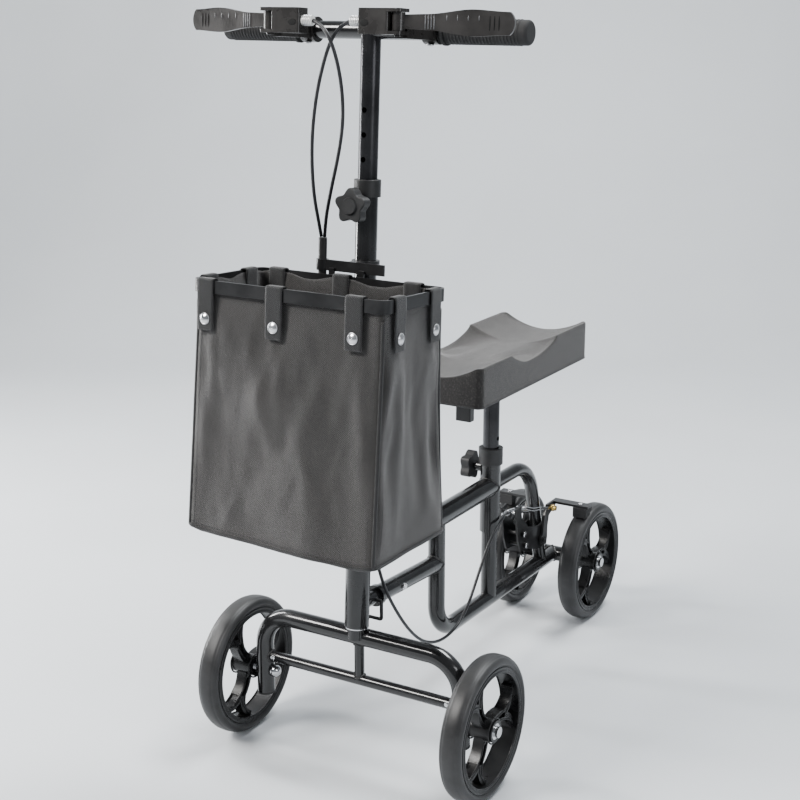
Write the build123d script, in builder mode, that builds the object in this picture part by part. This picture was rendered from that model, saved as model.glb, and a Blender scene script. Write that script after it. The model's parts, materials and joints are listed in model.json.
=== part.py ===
from build123d import *
from math import asin, cos, hypot, pi, radians, sin, sqrt, tan
import os

# A two-front-wheel, two-rear-wheel knee scooter: a raked steering column on a tube arch,
# a welded tube frame, a height-adjustable knee pad and a rear tyre brake worked by cable.
# Millimetres. +Z is up, the front faces -Y, +X is the rider's left. The origin is on the
# floor, under the middle of the scooter.

# ---- overall sizes ----
wheel_diameter = 200.0
tyre_width = 32.0
wheelbase = 628.0
front_track = 388.0
rear_track = 138.0
rake = 3.3                     # lean of the steering column, in degrees, top to the rear
trail = 18.0                   # the column's axis meets the floor this far ahead of the axle

# ---- tubes ----
arch_od = 25.4
brace_od = 16.0
stem_od = 31.8
steerer_od = 25.4
head_od = 34.0
head_bore = 29.0
column_od = 28.6
inner_od = 25.4
rail_od = 32.0
beam_od = 25.4
loop_od = 25.4
seat_tube_od = 31.8
seat_tube_foot_od = 25.4
post_od = 25.4
hoop_od = 22.2
cross_od = 25.4
bar_od = 22.2
tube_wall = 1.8
weld_gap = 0.03                # left between two welded pieces
slide_fit = 0.08               # radial clearance of a tube that slides in another
run_fit = 0.05                 # radial clearance of a shaft that turns in a hole
rest_gap = 0.3                 # left beside cloth, foam and rubber

# ---- heights along the column, from the floor ----
stem_foot_h = 188.0
head_low_h = 206.0
head_high_h = 332.0
stub_h = 235.0
stem_top_h = 536.0
hinge_h = 560.0
column_low_h = 584.0
column_high_h = 800.0
collar_low_h = 790.0
collar_high_h = 812.0
knob_h = 780.0
inner_low_h = 718.0
bar_h = 997.0
lever_h = 1005.0
hole_top_h = 899.0
hole_pitch = 31.0
hole_count = 6
hole_d = 7.0

# ---- basket and bag, in front of the column ----
rim_back = 34.0
rim_depth = 148.0
rim_width = 283.0
rim_high_h = 690.0
rim_bar = 16.0
rim_wall = 3.0
rim_corner = 13.0
bag_gap = 0.7
bag_wall = 3.0
bag_low_h = 362.0
bag_drop = 2.0
bag_flare = 10.0               # how much further each side stands out at the bottom
strap_width = 25.0
strap_t = 2.0
strap_low_h = 626.0
snap_h = 642.0
snap_r = 6.5

# ---- frame places, behind the front axle ----
loop_setback = 216.0
seat_setback = 387.0
rail_z = 293.0
low_rail_front_z = 106.0
loop_bend = 50.0
hoop_z = 294.0
hoop_corner = 523.0
hoop_foot = 578.0
hoop_bend = 72.0
seat_tube_step_z = 219.0
seat_tube_top_z = 340.0
seat_collar_low_z = 330.0
seat_collar_top_z = 356.0
arch_z = 188.0
arch_half = 160.0
arch_bend = 48.0
leg_low_z = 66.0
brace_z = 122.5

# ---- knee pad ----
pad_width = 154.0
pad_length = 366.0
pad_low_z = 470.5
pad_height = 60.0
board_t = 6.0
board_inset = 8.0
seat_rail_width = 25.0
seat_rail_height = 12.0
seat_rail_low_z = 455.5
seat_rail_length = 188.0
seat_block_low_z = 421.5
seat_block_length = 14.0
post_low_z = 254.0
seat_hole_z = 372.0
seat_hole_pitch = 25.0
seat_hole_count = 5

# ---- wheels ----
tyre_depth = 14.0
rim_band = 8.0
hub_r = 15.0
hub_width = 38.0
bearing_r = 11.0
bearing_w = 7.0
bolt_r = 4.0
spoke_width = 15.0
spoke_leg_width = 8.5
spoke_depth = 15.0
spoke_count = 3
spoke_bow = 3.5
fork_r = 50.0                  # where each spoke parts into two legs
fork_leads = (27.0, -21.0)     # where the legs meet the rim, in degrees from the spoke

# ---- cables ----
cable_d = 4.6
cable_end_gap = 0.9              # where a cord meets its socket at a slant
cable_rest_gap = 0.25

# ---- worked out ----
wheel_r = wheel_diameter / 2
rake_sin = sin(radians(rake))
rake_cos = cos(radians(rake))
bag_reach = rim_back + rim_depth - rim_wall - bag_gap
front_reach = trail + bag_reach * rake_cos - bag_low_h * rake_sin
front_axle_y = -(wheelbase + wheel_r - front_reach) / 2
rear_axle_y = front_axle_y + wheelbase
column_plane = Plane(
    origin=(0, front_axle_y - trail, 0),
    x_dir=(1, 0, 0),
    z_dir=(0, rake_sin, rake_cos),
)
seat_y = front_axle_y + seat_setback
loop_y = front_axle_y + loop_setback

os.makedirs("parts", exist_ok=True)


def save(part, name):
    part.label = name
    export_step(part, "parts/" + name + ".step")


def column_point(x, y, h):
    """A point given across the column, behind it, and up along it."""
    return column_plane.from_local_coords(Vector(x, y, h))


def side_plane(x):
    """Faces +X; its x runs to the rear of the column and its y up along it."""
    return Plane(origin=column_point(x, 0, 0), x_dir=column_plane.y_dir, z_dir=(1, 0, 0))


def front_plane(y):
    """Faces the front of the column; its x is +X and its y runs up the column."""
    return Plane(origin=column_point(0, y, 0), x_dir=(1, 0, 0), z_dir=-column_plane.y_dir)


def level_plane(h):
    return column_plane.offset(h)


def yz_plane(x):
    """Faces +X; its x is +Y behind the front axle and its y is height."""
    return Plane(origin=(x, front_axle_y, 0), x_dir=(0, 1, 0), z_dir=(1, 0, 0))


def rod(start, end, radius):
    """A plain round bar between two points, for cutting or for pins."""
    line = Vector(*end) - Vector(*start)
    with BuildPart() as bar:
        with BuildSketch(Plane(origin=start, z_dir=line)):
            Circle(radius)
        extrude(amount=line.length)
    return bar.part


def cable_radii(points):
    """Each bend of a cable is as large as its two runs allow."""
    radii = []
    for before, here, after in zip(points, points[1:], points[2:]):
        run_in = Vector(*here) - Vector(*before)
        run_out = Vector(*after) - Vector(*here)
        turn = run_in.get_angle(run_out)
        shorter = min(run_in.length, run_out.length)
        radii.append(0.45 * shorter / tan(radians(turn) / 2))
    return radii


def cable(points, name):
    """A solid round cord of straight runs and tangent arcs."""
    radii = cable_radii(points)
    with BuildPart() as cord:
        with BuildLine() as route:
            FilletPolyline(*points, radius=radii)
        with BuildSketch(Plane(origin=route.line @ 0, z_dir=route.line % 0)):
            Circle(cable_d / 2)
        sweep(path=route.line)
    length = route.wires()[0].length
    expected = pi * cable_d ** 2 / 4 * length
    print(name, "radii", [round(r) for r in radii], "length", round(length),
          "volume", round(cord.part.volume), "expected", round(expected))
    return cord.part


# ---------------------------------------------------------------- wheels

def wheel_planes(x, y):
    face = Plane(origin=(x, y, wheel_r), x_dir=(0, 1, 0), z_dir=(1, 0, 0))
    section = Plane(origin=(x, y, wheel_r), x_dir=(1, 0, 0), z_dir=(0, -1, 0))
    return face, section


def make_tyre(x, y, name):
    face, section = wheel_planes(x, y)
    with BuildPart() as tyre:
        with BuildSketch(section) as profile:
            with Locations((0, wheel_r - tyre_depth / 2)):
                Rectangle(tyre_width, tyre_depth)
            fillet(profile.vertices().group_by(Axis.Y)[-1], radius=min(tyre_width * 0.4, tyre_depth * 0.93))
        revolve(axis=Axis(face.origin, (1, 0, 0)))
    save(tyre.part, name)


def make_rim(x, y, name):
    face, section = wheel_planes(x, y)
    band_outer = wheel_r - tyre_depth - weld_gap
    band_inner = band_outer - rim_band
    spoke_mid = (hub_r + fork_r) / 2
    leg_mid = (fork_r + band_inner) / 2
    with BuildPart() as rim:
        with BuildSketch(section):
            with Locations((0, band_outer - rim_band / 2)):
                Rectangle(tyre_width - 4, rim_band)
            with Locations((0, (hub_r + bolt_r + 2) / 2)):
                Rectangle(hub_width, hub_r - bolt_r - 2)
        revolve(axis=Axis(face.origin, (1, 0, 0)))
        with BuildSketch(face):
            for turn in range(spoke_count):
                with BuildLine(Plane.XY.rotated((0, 0, turn * 360 / spoke_count))):
                    ThreePointArc((hub_r * 0.75, 0), (spoke_mid, spoke_bow), (fork_r, 0))
                trace(line_width=spoke_width)
                for lead in fork_leads:
                    end = radians(lead)
                    with BuildLine(Plane.XY.rotated((0, 0, turn * 360 / spoke_count))):
                        ThreePointArc(
                            (fork_r - spoke_width / 4, 0),
                            (leg_mid * cos(end * 0.42), leg_mid * sin(end * 0.42)),
                            ((band_inner - 1) * cos(end), (band_inner - 1) * sin(end)),
                        )
                    trace(line_width=spoke_leg_width)
        extrude(amount=spoke_depth / 2, both=True)
        with BuildSketch(face.offset(spoke_depth / 2), face.offset(-spoke_depth / 2)):
            for turn in range(spoke_count):
                with BuildLine(Plane.XY.rotated((0, 0, turn * 360 / spoke_count))):
                    ThreePointArc((hub_r + 5, 1), (spoke_mid + 2, spoke_bow), (fork_r - 2, 0))
                trace(line_width=spoke_width * 0.45)
        extrude(amount=spoke_depth / 4, both=True, mode=Mode.SUBTRACT)
        for side in (1, -1):
            with BuildSketch(face.offset(side * (hub_width / 2 - bearing_w))):
                Circle(bearing_r + run_fit)
            extrude(amount=side * (bearing_w + 1), mode=Mode.SUBTRACT)
    save(rim.part, name)


def make_bearings(track, y, name):
    with BuildPart() as bearings:
        for side in (1, -1):
            for end in (1, -1):
                inner = side * track / 2 + end * (hub_width / 2 - bearing_w)
                with BuildSketch(Plane(origin=(inner, y, wheel_r), x_dir=(0, 1, 0), z_dir=(1, 0, 0))):
                    Circle(bearing_r)
                    Circle(bolt_r + weld_gap, mode=Mode.SUBTRACT)
                extrude(amount=end * (bearing_w - 0.2))
    save(bearings.part, name)


wheels = {
    "front_left": (front_track / 2, front_axle_y),
    "front_right": (-front_track / 2, front_axle_y),
    "rear_left": (rear_track / 2, rear_axle_y),
    "rear_right": (-rear_track / 2, rear_axle_y),
}
for place, (wheel_x, wheel_y) in wheels.items():
    make_tyre(wheel_x, wheel_y, place + "_tyre")
    make_rim(wheel_x, wheel_y, place + "_rim")
make_bearings(front_track, front_axle_y, "front_wheel_bearings")
make_bearings(rear_track, rear_axle_y, "rear_wheel_bearings")

# Bolts carry the wheels: a hex head outside, a shoulder between wheel and frame.
bolt_head_t = 5.0
bolt_head_r = 7.5
dome_r = 7.5


def axle_section(y):
    return Plane(origin=(0, y, wheel_r), x_dir=(1, 0, 0), z_dir=(0, -1, 0))


def axle_bolt_outline(side, outer, shoulder_out, shoulder_in, tip, domed):
    """Half section of a wheel bolt on one side, from its head inwards."""
    Polyline(
        (side * outer, 0),
        (side * outer, bolt_head_r),
        (side * (outer - bolt_head_t), bolt_head_r),
        (side * (outer - bolt_head_t), bolt_r),
        (side * shoulder_out, bolt_r),
        (side * shoulder_out, bolt_r + 3),
        (side * shoulder_in, bolt_r + 3),
        (side * shoulder_in, bolt_r),
        (side * tip, bolt_r),
    )
    if domed:
        Line((side * tip, bolt_r), (side * tip, dome_r))
        Line((side * tip, dome_r), (side * (tip - 4), dome_r))
        ThreePointArc(
            (side * (tip - 4), dome_r),
            (side * (tip - 4 - dome_r * sqrt(0.5)), dome_r * sqrt(0.5)),
            (side * (tip - 4 - dome_r), 0),
        )
        Line((side * (tip - 4 - dome_r), 0), (side * outer, 0))
    else:
        Line((side * tip, bolt_r), (side * tip, 0))
        Line((side * tip, 0), (side * outer, 0))


front_hub_out = front_track / 2 + hub_width / 2
front_hub_in = front_track / 2 - hub_width / 2
leg_out = arch_half + arch_od / 2
leg_in = arch_half - arch_od / 2
with BuildPart() as front_axle_bolts:
    for side in (1, -1):
        with BuildSketch(axle_section(front_axle_y)):
            with BuildLine():
                axle_bolt_outline(side, front_hub_out + bolt_head_t, front_hub_in,
                                  leg_out + weld_gap, leg_in, True)
            make_face()
        revolve(axis=Axis((0, front_axle_y, wheel_r), (1, 0, 0)))
save(front_axle_bolts.part, "front_axle_bolts")

rear_hub_out = rear_track / 2 + hub_width / 2
rear_hub_in = rear_track / 2 - hub_width / 2
cross_half = rear_hub_in - 2
rear_bolt_tip = 24.0
with BuildPart() as rear_axle_bolts:
    for side in (1, -1):
        with BuildSketch(axle_section(rear_axle_y)):
            with BuildLine():
                axle_bolt_outline(side, rear_hub_out + bolt_head_t, rear_hub_in,
                                  cross_half + weld_gap, rear_bolt_tip, False)
            make_face()
        revolve(axis=Axis((0, rear_axle_y, wheel_r), (1, 0, 0)))
save(rear_axle_bolts.part, "rear_axle_bolts")

# ---------------------------------------------------------------- front arch and stem

with BuildPart() as front_arch:
    with BuildLine() as arch_route:
        FilletPolyline(
            (arch_half, front_axle_y, leg_low_z),
            (arch_half, front_axle_y, arch_z),
            (-arch_half, front_axle_y, arch_z),
            (-arch_half, front_axle_y, leg_low_z),
            radius=arch_bend,
        )
    with BuildSketch(Plane(origin=arch_route.line @ 0, z_dir=arch_route.line % 0)):
        Circle(arch_od / 2)
        Circle(arch_od / 2 - tube_wall, mode=Mode.SUBTRACT)
    sweep(path=arch_route.line)
    add(rod((-leg_out - 5, front_axle_y, wheel_r), (leg_out + 5, front_axle_y, wheel_r),
            bolt_r + weld_gap), mode=Mode.SUBTRACT)
save(front_arch.part, "front_arch")

with BuildPart() as front_braces:
    add(rod((-arch_half, front_axle_y, brace_z), (arch_half, front_axle_y, brace_z), brace_od / 2))
    for side in (1, -1):
        add(rod((side * arch_half, front_axle_y, leg_low_z), (side * arch_half, front_axle_y, arch_z),
                arch_od / 2 + weld_gap), mode=Mode.SUBTRACT)
    add(rod((0, front_axle_y, brace_z), (0, front_axle_y, arch_z), brace_od / 2 - 1))
    add(rod((-arch_half / 2, front_axle_y, arch_z), (arch_half / 2, front_axle_y, arch_z),
            arch_od / 2 + weld_gap), mode=Mode.SUBTRACT)
save(front_braces.part, "front_braces")

clip_x = 20.5
clip_y = 3.0
clip_h = 366.0
with BuildPart() as stem_tube:
    with BuildSketch(level_plane(stem_foot_h)):
        Circle(steerer_od / 2)
    extrude(amount=head_high_h + 2 - stem_foot_h)
    with BuildSketch(level_plane(head_high_h + 2)):
        Circle(stem_od / 2)
    extrude(amount=stem_top_h - head_high_h - 2)
    with BuildSketch(level_plane(clip_h - 5)):
        with Locations((clip_x - 3, clip_y)):
            RectangleRounded(14, 10, 3)
    extrude(amount=10)
    with BuildSketch(level_plane(stem_foot_h)):
        Circle(steerer_od / 2 - 2.4)
    extrude(amount=stem_top_h - stem_foot_h, mode=Mode.SUBTRACT)
    add(rod((-arch_half / 2, front_axle_y, arch_z), (arch_half / 2, front_axle_y, arch_z),
            arch_od / 2 + weld_gap), mode=Mode.SUBTRACT)
save(stem_tube.part, "stem_tube")

# Fold hinge: a block with two ears on the stem, and a head with a knuckle on the column.
hinge_block = 40.0
hinge_pin_y = 24.0
hinge_pin_r = 4.0
hinge_split_h = 556.0
knuckle_half = 13.0
ear_t = 6.5
ear_r = 9.0
head_depth = 32.0
with BuildPart() as fold_hinge_base:
    with BuildSketch(level_plane(stem_top_h + weld_gap)):
        RectangleRounded(hinge_block, hinge_block, 8)
    extrude(amount=hinge_split_h - stem_top_h - weld_gap)
    with BuildSketch(side_plane(knuckle_half + run_fit)):
        with BuildLine():
            Polyline((0, stem_top_h + 4), (hinge_pin_y + ear_r, stem_top_h + 12),
                     (hinge_pin_y + ear_r, hinge_h), (hinge_pin_y - ear_r, hinge_h),
                     (hinge_pin_y - ear_r, hinge_split_h - 1), (0, hinge_split_h - 1),
                     (0, stem_top_h + 4))
        make_face()
        with Locations((hinge_pin_y, hinge_h)):
            Circle(ear_r)
    extrude(amount=ear_t)
    with BuildSketch(side_plane(-knuckle_half - run_fit)):
        with BuildLine():
            Polyline((0, stem_top_h + 4), (hinge_pin_y + ear_r, stem_top_h + 12),
                     (hinge_pin_y + ear_r, hinge_h), (hinge_pin_y - ear_r, hinge_h),
                     (hinge_pin_y - ear_r, hinge_split_h - 1), (0, hinge_split_h - 1),
                     (0, stem_top_h + 4))
        make_face()
        with Locations((hinge_pin_y, hinge_h)):
            Circle(ear_r)
    extrude(amount=-ear_t)
    with BuildSketch(side_plane(-knuckle_half - run_fit)):
        with Locations((hinge_pin_y, hinge_h)):
            Circle(ear_r + 1)
    extrude(amount=2 * (knuckle_half + run_fit), mode=Mode.SUBTRACT)
    with BuildSketch(side_plane(-hinge_block)):
        with Locations((hinge_pin_y, hinge_h)):
            Circle(hinge_pin_r + weld_gap)
    extrude(amount=2 * hinge_block, mode=Mode.SUBTRACT)
with BuildPart() as fold_hinge_pin:
    with BuildSketch(side_plane(-knuckle_half - ear_t - 3)):
        with Locations((hinge_pin_y, hinge_h)):
            Circle(hinge_pin_r + 2.5)
    extrude(amount=2.8)
    with BuildSketch(side_plane(-knuckle_half - ear_t - 1)):
        with Locations((hinge_pin_y, hinge_h)):
            Circle(hinge_pin_r)
    extrude(amount=2 * (knuckle_half + ear_t) + 4)
save(Compound(children=[fold_hinge_base.part, fold_hinge_pin.part]), "fold_hinge_base")

lever_pin_y = 0.0
lever_pin_h = 570.0
with BuildPart() as fold_hinge_head:
    with BuildSketch(level_plane(hinge_split_h + 0.1)):
        with Locations((0, -(hinge_block - head_depth) / 2)):
            RectangleRounded(hinge_block, head_depth, 7)
    extrude(amount=column_low_h - hinge_split_h - 0.1)
    with BuildSketch(side_plane(-knuckle_half)):
        with Locations((hinge_pin_y, hinge_h)):
            Circle(ear_r)
        with BuildLine():
            Polyline((0, hinge_split_h + 0.2), (hinge_pin_y - ear_r, hinge_split_h + 0.2),
                     (hinge_pin_y, hinge_h - ear_r), (hinge_pin_y + ear_r, hinge_h),
                     (0, column_low_h - 2), (0, hinge_split_h + 0.2))
        make_face()
    extrude(amount=2 * knuckle_half)
    with BuildSketch(side_plane(-hinge_block)):
        with Locations((hinge_pin_y, hinge_h)):
            Circle(hinge_pin_r + run_fit)
        with Locations((lever_pin_y, lever_pin_h)):
            Circle(hinge_pin_r + run_fit)
    extrude(amount=2 * hinge_block, mode=Mode.SUBTRACT)
save(fold_hinge_head.part, "fold_hinge_head")

fold_lever_length = 78.0
fold_lever_x = -hinge_block / 2 - 3
with BuildPart() as fold_lever:
    with BuildSketch(side_plane(fold_lever_x)):
        with BuildLine():
            Polyline((-8, lever_pin_h), (8, lever_pin_h), (6, lever_pin_h - fold_lever_length),
                     (-6, lever_pin_h - fold_lever_length), (-8, lever_pin_h))
        make_face()
        with Locations((lever_pin_y, lever_pin_h)):
            Circle(10)
    extrude(amount=-6)
    with BuildSketch(side_plane(fold_lever_x - 1)):
        with Locations((lever_pin_y, lever_pin_h)):
            Circle(hinge_pin_r)
    extrude(amount=hinge_block + 5)
save(fold_lever.part, "fold_lever")

# ---------------------------------------------------------------- column

with BuildPart() as column_tube:
    with BuildSketch(level_plane(column_low_h + weld_gap)):
        Circle(column_od / 2)
        Circle(inner_od / 2 + slide_fit, mode=Mode.SUBTRACT)
    extrude(amount=column_high_h - column_low_h - weld_gap)
    with BuildSketch(front_plane(-column_od / 2 + 1)):
        with Locations((0, knob_h)):
            Circle(8)
    extrude(amount=9)
    with BuildSketch(front_plane(0)):
        with Locations((0, knob_h)):
            Circle(hinge_pin_r + run_fit)
    extrude(amount=column_od, mode=Mode.SUBTRACT)
    with BuildSketch(level_plane(column_low_h + weld_gap)):
        Circle(inner_od / 2 + slide_fit)
    extrude(amount=column_high_h - column_low_h, mode=Mode.SUBTRACT)
save(column_tube.part, "column_tube")

collar_r = 17.5
with BuildPart() as column_collar:
    with BuildSketch(level_plane(collar_low_h)):
        Circle(collar_r)
        Circle(column_od / 2 + weld_gap, mode=Mode.SUBTRACT)
    extrude(amount=column_high_h - collar_low_h + weld_gap)
    with BuildSketch(level_plane(column_high_h + weld_gap)):
        Circle(collar_r)
        Circle(inner_od / 2 + slide_fit, mode=Mode.SUBTRACT)
    extrude(amount=collar_high_h - column_high_h)
    fillet(column_collar.edges().group_by(Axis(column_plane.origin, column_plane.z_dir))[-1].sort_by(
        SortBy.RADIUS)[-1], radius=1)
save(column_collar.part, "column_collar")

with BuildPart() as inner_column:
    with BuildSketch(level_plane(inner_low_h)):
        Circle(inner_od / 2)
        Circle(inner_od / 2 - tube_wall, mode=Mode.SUBTRACT)
    extrude(amount=bar_h - inner_low_h)
    with BuildSketch(front_plane(0)):
        for step in range(hole_count):
            with Locations((0, hole_top_h - step * hole_pitch)):
                Circle(hole_d / 2)
    extrude(amount=inner_od, mode=Mode.SUBTRACT)
    with BuildSketch(side_plane(-inner_od)):
        with Locations((0, bar_h)):
            Circle(bar_od / 2 + weld_gap)
    extrude(amount=2 * inner_od, mode=Mode.SUBTRACT)
save(inner_column.part, "inner_column")


# Star knobs: five round lobes, a domed cap and a threaded stud.
knob_r = 23.0
knob_t = 15.0
knob_stud_r = 4.0
knob_lobes = 5
knob_lobe_depth = 6.0


def make_knob(face, standoff, stud_in, name):
    """A star knob whose back stands off the face and whose stud reaches in."""
    with BuildPart() as knob:
        with BuildSketch(face.offset(standoff)):
            with BuildLine():
                outline = []
                for step in range(6 * knob_lobes):
                    angle = 2 * pi * step / (6 * knob_lobes)
                    radius = knob_r - knob_lobe_depth * (1 - cos(knob_lobes * angle)) / 2
                    outline.append((radius * sin(angle), radius * cos(angle)))
                Spline(*outline, periodic=True)
            make_face()
        extrude(amount=knob_t)
        fillet(knob.edges().group_by(Axis(face.origin, face.z_dir))[-1], radius=1.5)
        with BuildSketch(face.offset(standoff + knob_t - 0.5)):
            Circle(knob_r * 0.5)
        extrude(amount=3.5, taper=25)
        with BuildSketch(face.offset(-stud_in)):
            Circle(knob_stud_r)
        extrude(amount=stud_in + standoff + 1)
    save(knob.part, name)


boss_out = 8.0
column_face = Plane(origin=column_point(0, -column_od / 2 - boss_out, knob_h), x_dir=(1, 0, 0),
                    z_dir=-column_plane.y_dir)
make_knob(column_face, 5.0, boss_out, "column_knob")

# ---------------------------------------------------------------- handlebar

bar_half = 218.0
grip_in = 106.0
grip_out = 222.0
grip_r = 15.0
with BuildPart() as handlebar:
    with BuildSketch(side_plane(-bar_half)):
        with Locations((0, bar_h)):
            Circle(bar_od / 2)
            Circle(bar_od / 2 - tube_wall, mode=Mode.SUBTRACT)
    extrude(amount=2 * bar_half)
save(handlebar.part, "handlebar")


def make_grip(side, name):
    with BuildPart() as grip:
        with BuildSketch(side_plane(side * grip_in)):
            with Locations((0, bar_h)):
                Circle(grip_r)
        extrude(amount=side * (grip_out - grip_in))
        with BuildSketch(side_plane(side * grip_in)):
            with Locations((0, bar_h)):
                Circle(grip_r + 2)
        extrude(amount=side * 4)
        fillet(grip.faces().sort_by(Axis.X)[-1 if side > 0 else 0].edges(), radius=4)
        with BuildSketch(side_plane(side * grip_in)):
            with Locations((0, bar_h)):
                Circle(bar_od / 2 + weld_gap)
        extrude(amount=side * (bar_half - grip_in + 0.2), mode=Mode.SUBTRACT)
    save(grip.part, name)


make_grip(1, "left_grip")
make_grip(-1, "right_grip")

# Brake lever bodies: a clamp band on the bar, an arm forward, a block with a fork and a pin.
clamp_in = 80.0
clamp_out = 100.0
clamp_r = 16.0
body_in = 42.0
body_out = 83.5
body_front = 100.0
body_back = 78.0
body_half = 15.0
fork_out = 101.0
fork_t = 4.0
lever_pivot_x = 92.0
lever_pivot_y = 88.0
lever_pin_r = 3.0
root_half = body_half - fork_t - 0.5
ferrule_r = 6.0
ferrule_length = 14.0
cable_y = 90.0


def make_lever_body(side, name):
    with BuildPart() as body:
        with BuildSketch(side_plane(side * clamp_in)):
            with Locations((0, bar_h)):
                Circle(clamp_r)
        extrude(amount=side * (clamp_out - clamp_in))
        with BuildSketch(level_plane(bar_h - 11)):
            with Locations((side * (clamp_in + clamp_out) / 2, -(body_back + 4) / 2)):
                Rectangle(clamp_out - clamp_in - 4, body_back - 4)
        extrude(amount=20)
        with BuildSketch(level_plane(lever_h - body_half)):
            with Locations((side * (body_in + body_out) / 2, -(body_front + body_back) / 2)):
                RectangleRounded(body_out - body_in, body_front - body_back, 3)
        extrude(amount=2 * body_half)
        for low in (lever_h - body_half, lever_h + body_half - fork_t):
            with BuildSketch(level_plane(low)):
                with Locations((side * ((body_out + fork_out) / 2 - 3), 1 - (body_front + body_back) / 2)):
                    RectangleRounded(fork_out - body_out + 6, body_front - body_back + 2, 4)
            extrude(amount=fork_t)
        with BuildSketch(level_plane(lever_h - body_half)):
            with Locations((side * lever_pivot_x, -lever_pivot_y)):
                Circle(lever_pin_r + weld_gap)
        extrude(amount=2 * body_half, mode=Mode.SUBTRACT)
        with BuildSketch(side_plane(side * (clamp_in - 1))):
            with Locations((0, bar_h)):
                Circle(bar_od / 2 + weld_gap)
        extrude(amount=side * (clamp_out - clamp_in + 2), mode=Mode.SUBTRACT)
    with BuildPart() as pin:
        with BuildSketch(level_plane(lever_h - body_half - 2.5)):
            with Locations((side * lever_pivot_x, -lever_pivot_y)):
                Circle(lever_pin_r + 2)
        extrude(amount=2.4)
        with BuildSketch(level_plane(lever_h - body_half - 1)):
            with Locations((side * lever_pivot_x, -lever_pivot_y)):
                Circle(lever_pin_r)
        extrude(amount=2 * body_half + 1.5)
    save(Compound(children=[body.part, pin.part]), name)


make_lever_body(1, "left_lever_body")
make_lever_body(-1, "right_lever_body")

lever_tip_x = 231.0
lever_tip_y = 61.0
blade_t = 6.0
blade_tip_half = 15.0


def make_lever(side, name):
    reach = hypot(lever_tip_x - lever_pivot_x, lever_pivot_y - lever_tip_y)
    along = column_point(side * lever_tip_x, -lever_tip_y, 0) - column_point(
        side * lever_pivot_x, -lever_pivot_y, 0)
    pivot = column_point(side * lever_pivot_x, -lever_pivot_y, lever_h)
    across = along.cross(column_plane.z_dir)
    blade_plane = Plane(origin=pivot, x_dir=along, z_dir=across)
    up = 1 if blade_plane.y_dir.Z > 0 else -1
    with BuildPart() as lever:
        with BuildSketch(blade_plane):
            with BuildLine():
                Polyline((6, -up * 8), (6, up * 8), (32, up * 9))
                Spline((32, up * 9), (reach * 0.62, up * blade_tip_half),
                       (reach - 6, up * (blade_tip_half - 2)), tangents=[(1, 0), (1, 0)])
                ThreePointArc((reach - 6, up * (blade_tip_half - 2)), (reach, 0),
                              (reach - 6, -up * (blade_tip_half - 2)))
                Spline((reach - 6, -up * (blade_tip_half - 2)), (reach * 0.62, -up * blade_tip_half),
                       (32, -up * 9), tangents=[(-1, 0), (-1, 0)])
                Line((32, -up * 9), (6, -up * 8))
            make_face()
        extrude(amount=blade_t / 2, both=True)
        with BuildSketch(level_plane(lever_h - root_half)):
            with Locations((side * lever_pivot_x, -lever_pivot_y)):
                Circle(8)
        extrude(amount=2 * root_half)
        with BuildSketch(level_plane(lever_h - root_half)):
            with Locations((side * lever_pivot_x, -lever_pivot_y)):
                Circle(lever_pin_r + run_fit)
        extrude(amount=2 * root_half, mode=Mode.SUBTRACT)
    save(lever.part, name)


make_lever(1, "left_brake_lever")
make_lever(-1, "right_brake_lever")

with BuildPart() as cable_ferrules:
    for side in (1, -1):
        with BuildSketch(side_plane(side * (body_in - weld_gap))):
            with Locations((-cable_y, lever_h)):
                Circle(ferrule_r)
        extrude(amount=-side * ferrule_length)
save(cable_ferrules.part, "cable_ferrules")

# ---------------------------------------------------------------- basket and bag

rim_mid = -(rim_back + rim_depth / 2)
with BuildPart() as basket_rim:
    with BuildSketch(level_plane(rim_high_h - rim_bar)):
        with Locations((0, rim_mid)):
            RectangleRounded(rim_width, rim_depth, rim_corner)
            RectangleRounded(rim_width - 2 * rim_wall, rim_depth - 2 * rim_wall, rim_corner - rim_wall,
                             mode=Mode.SUBTRACT)
    extrude(amount=rim_bar)
save(basket_rim.part, "basket_rim")

bag_width = rim_width - 2 * (rim_wall + bag_gap)
bag_depth = rim_depth - 2 * (rim_wall + bag_gap)
bag_corner = rim_corner - rim_wall
with BuildPart() as basket_bag:
    with BuildSketch(level_plane(bag_low_h)):
        with Locations((0, rim_mid)):
            RectangleRounded(bag_width + 2 * bag_flare, bag_depth, bag_corner)
    with BuildSketch(level_plane(strap_low_h)):
        with Locations((0, rim_mid)):
            RectangleRounded(bag_width, bag_depth, bag_corner)
    loft()
    with BuildSketch(level_plane(strap_low_h)):
        with Locations((0, rim_mid)):
            RectangleRounded(bag_width, bag_depth, bag_corner)
    extrude(amount=rim_high_h - bag_drop - strap_low_h)
    with BuildSketch(level_plane(bag_low_h + bag_wall)):
        with Locations((0, rim_mid)):
            RectangleRounded(bag_width + 2 * (bag_flare - bag_wall), bag_depth - 2 * bag_wall,
                             bag_corner - bag_wall)
    with BuildSketch(level_plane(strap_low_h)):
        with Locations((0, rim_mid)):
            RectangleRounded(bag_width - 2 * bag_wall, bag_depth - 2 * bag_wall, bag_corner - bag_wall)
    loft(mode=Mode.SUBTRACT)
    with BuildSketch(level_plane(strap_low_h - 1)):
        with Locations((0, rim_mid)):
            RectangleRounded(bag_width - 2 * bag_wall, bag_depth - 2 * bag_wall, bag_corner - bag_wall)
    extrude(amount=rim_high_h, mode=Mode.SUBTRACT)
save(basket_bag.part, "basket_bag")

# Straps wrap the rim: (x, y) of the rim face they hang on, and the way that face looks.
strap_places = []
for x in (-118, -15, 99):
    strap_places.append((x, -rim_back - rim_depth, -90))
for x in (-110, -11, 95):
    strap_places.append((x, -rim_back, 90))
for y in (-150, -66):
    strap_places.append((rim_width / 2, y, 0))
    strap_places.append((-rim_width / 2, y, 180))

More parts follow.
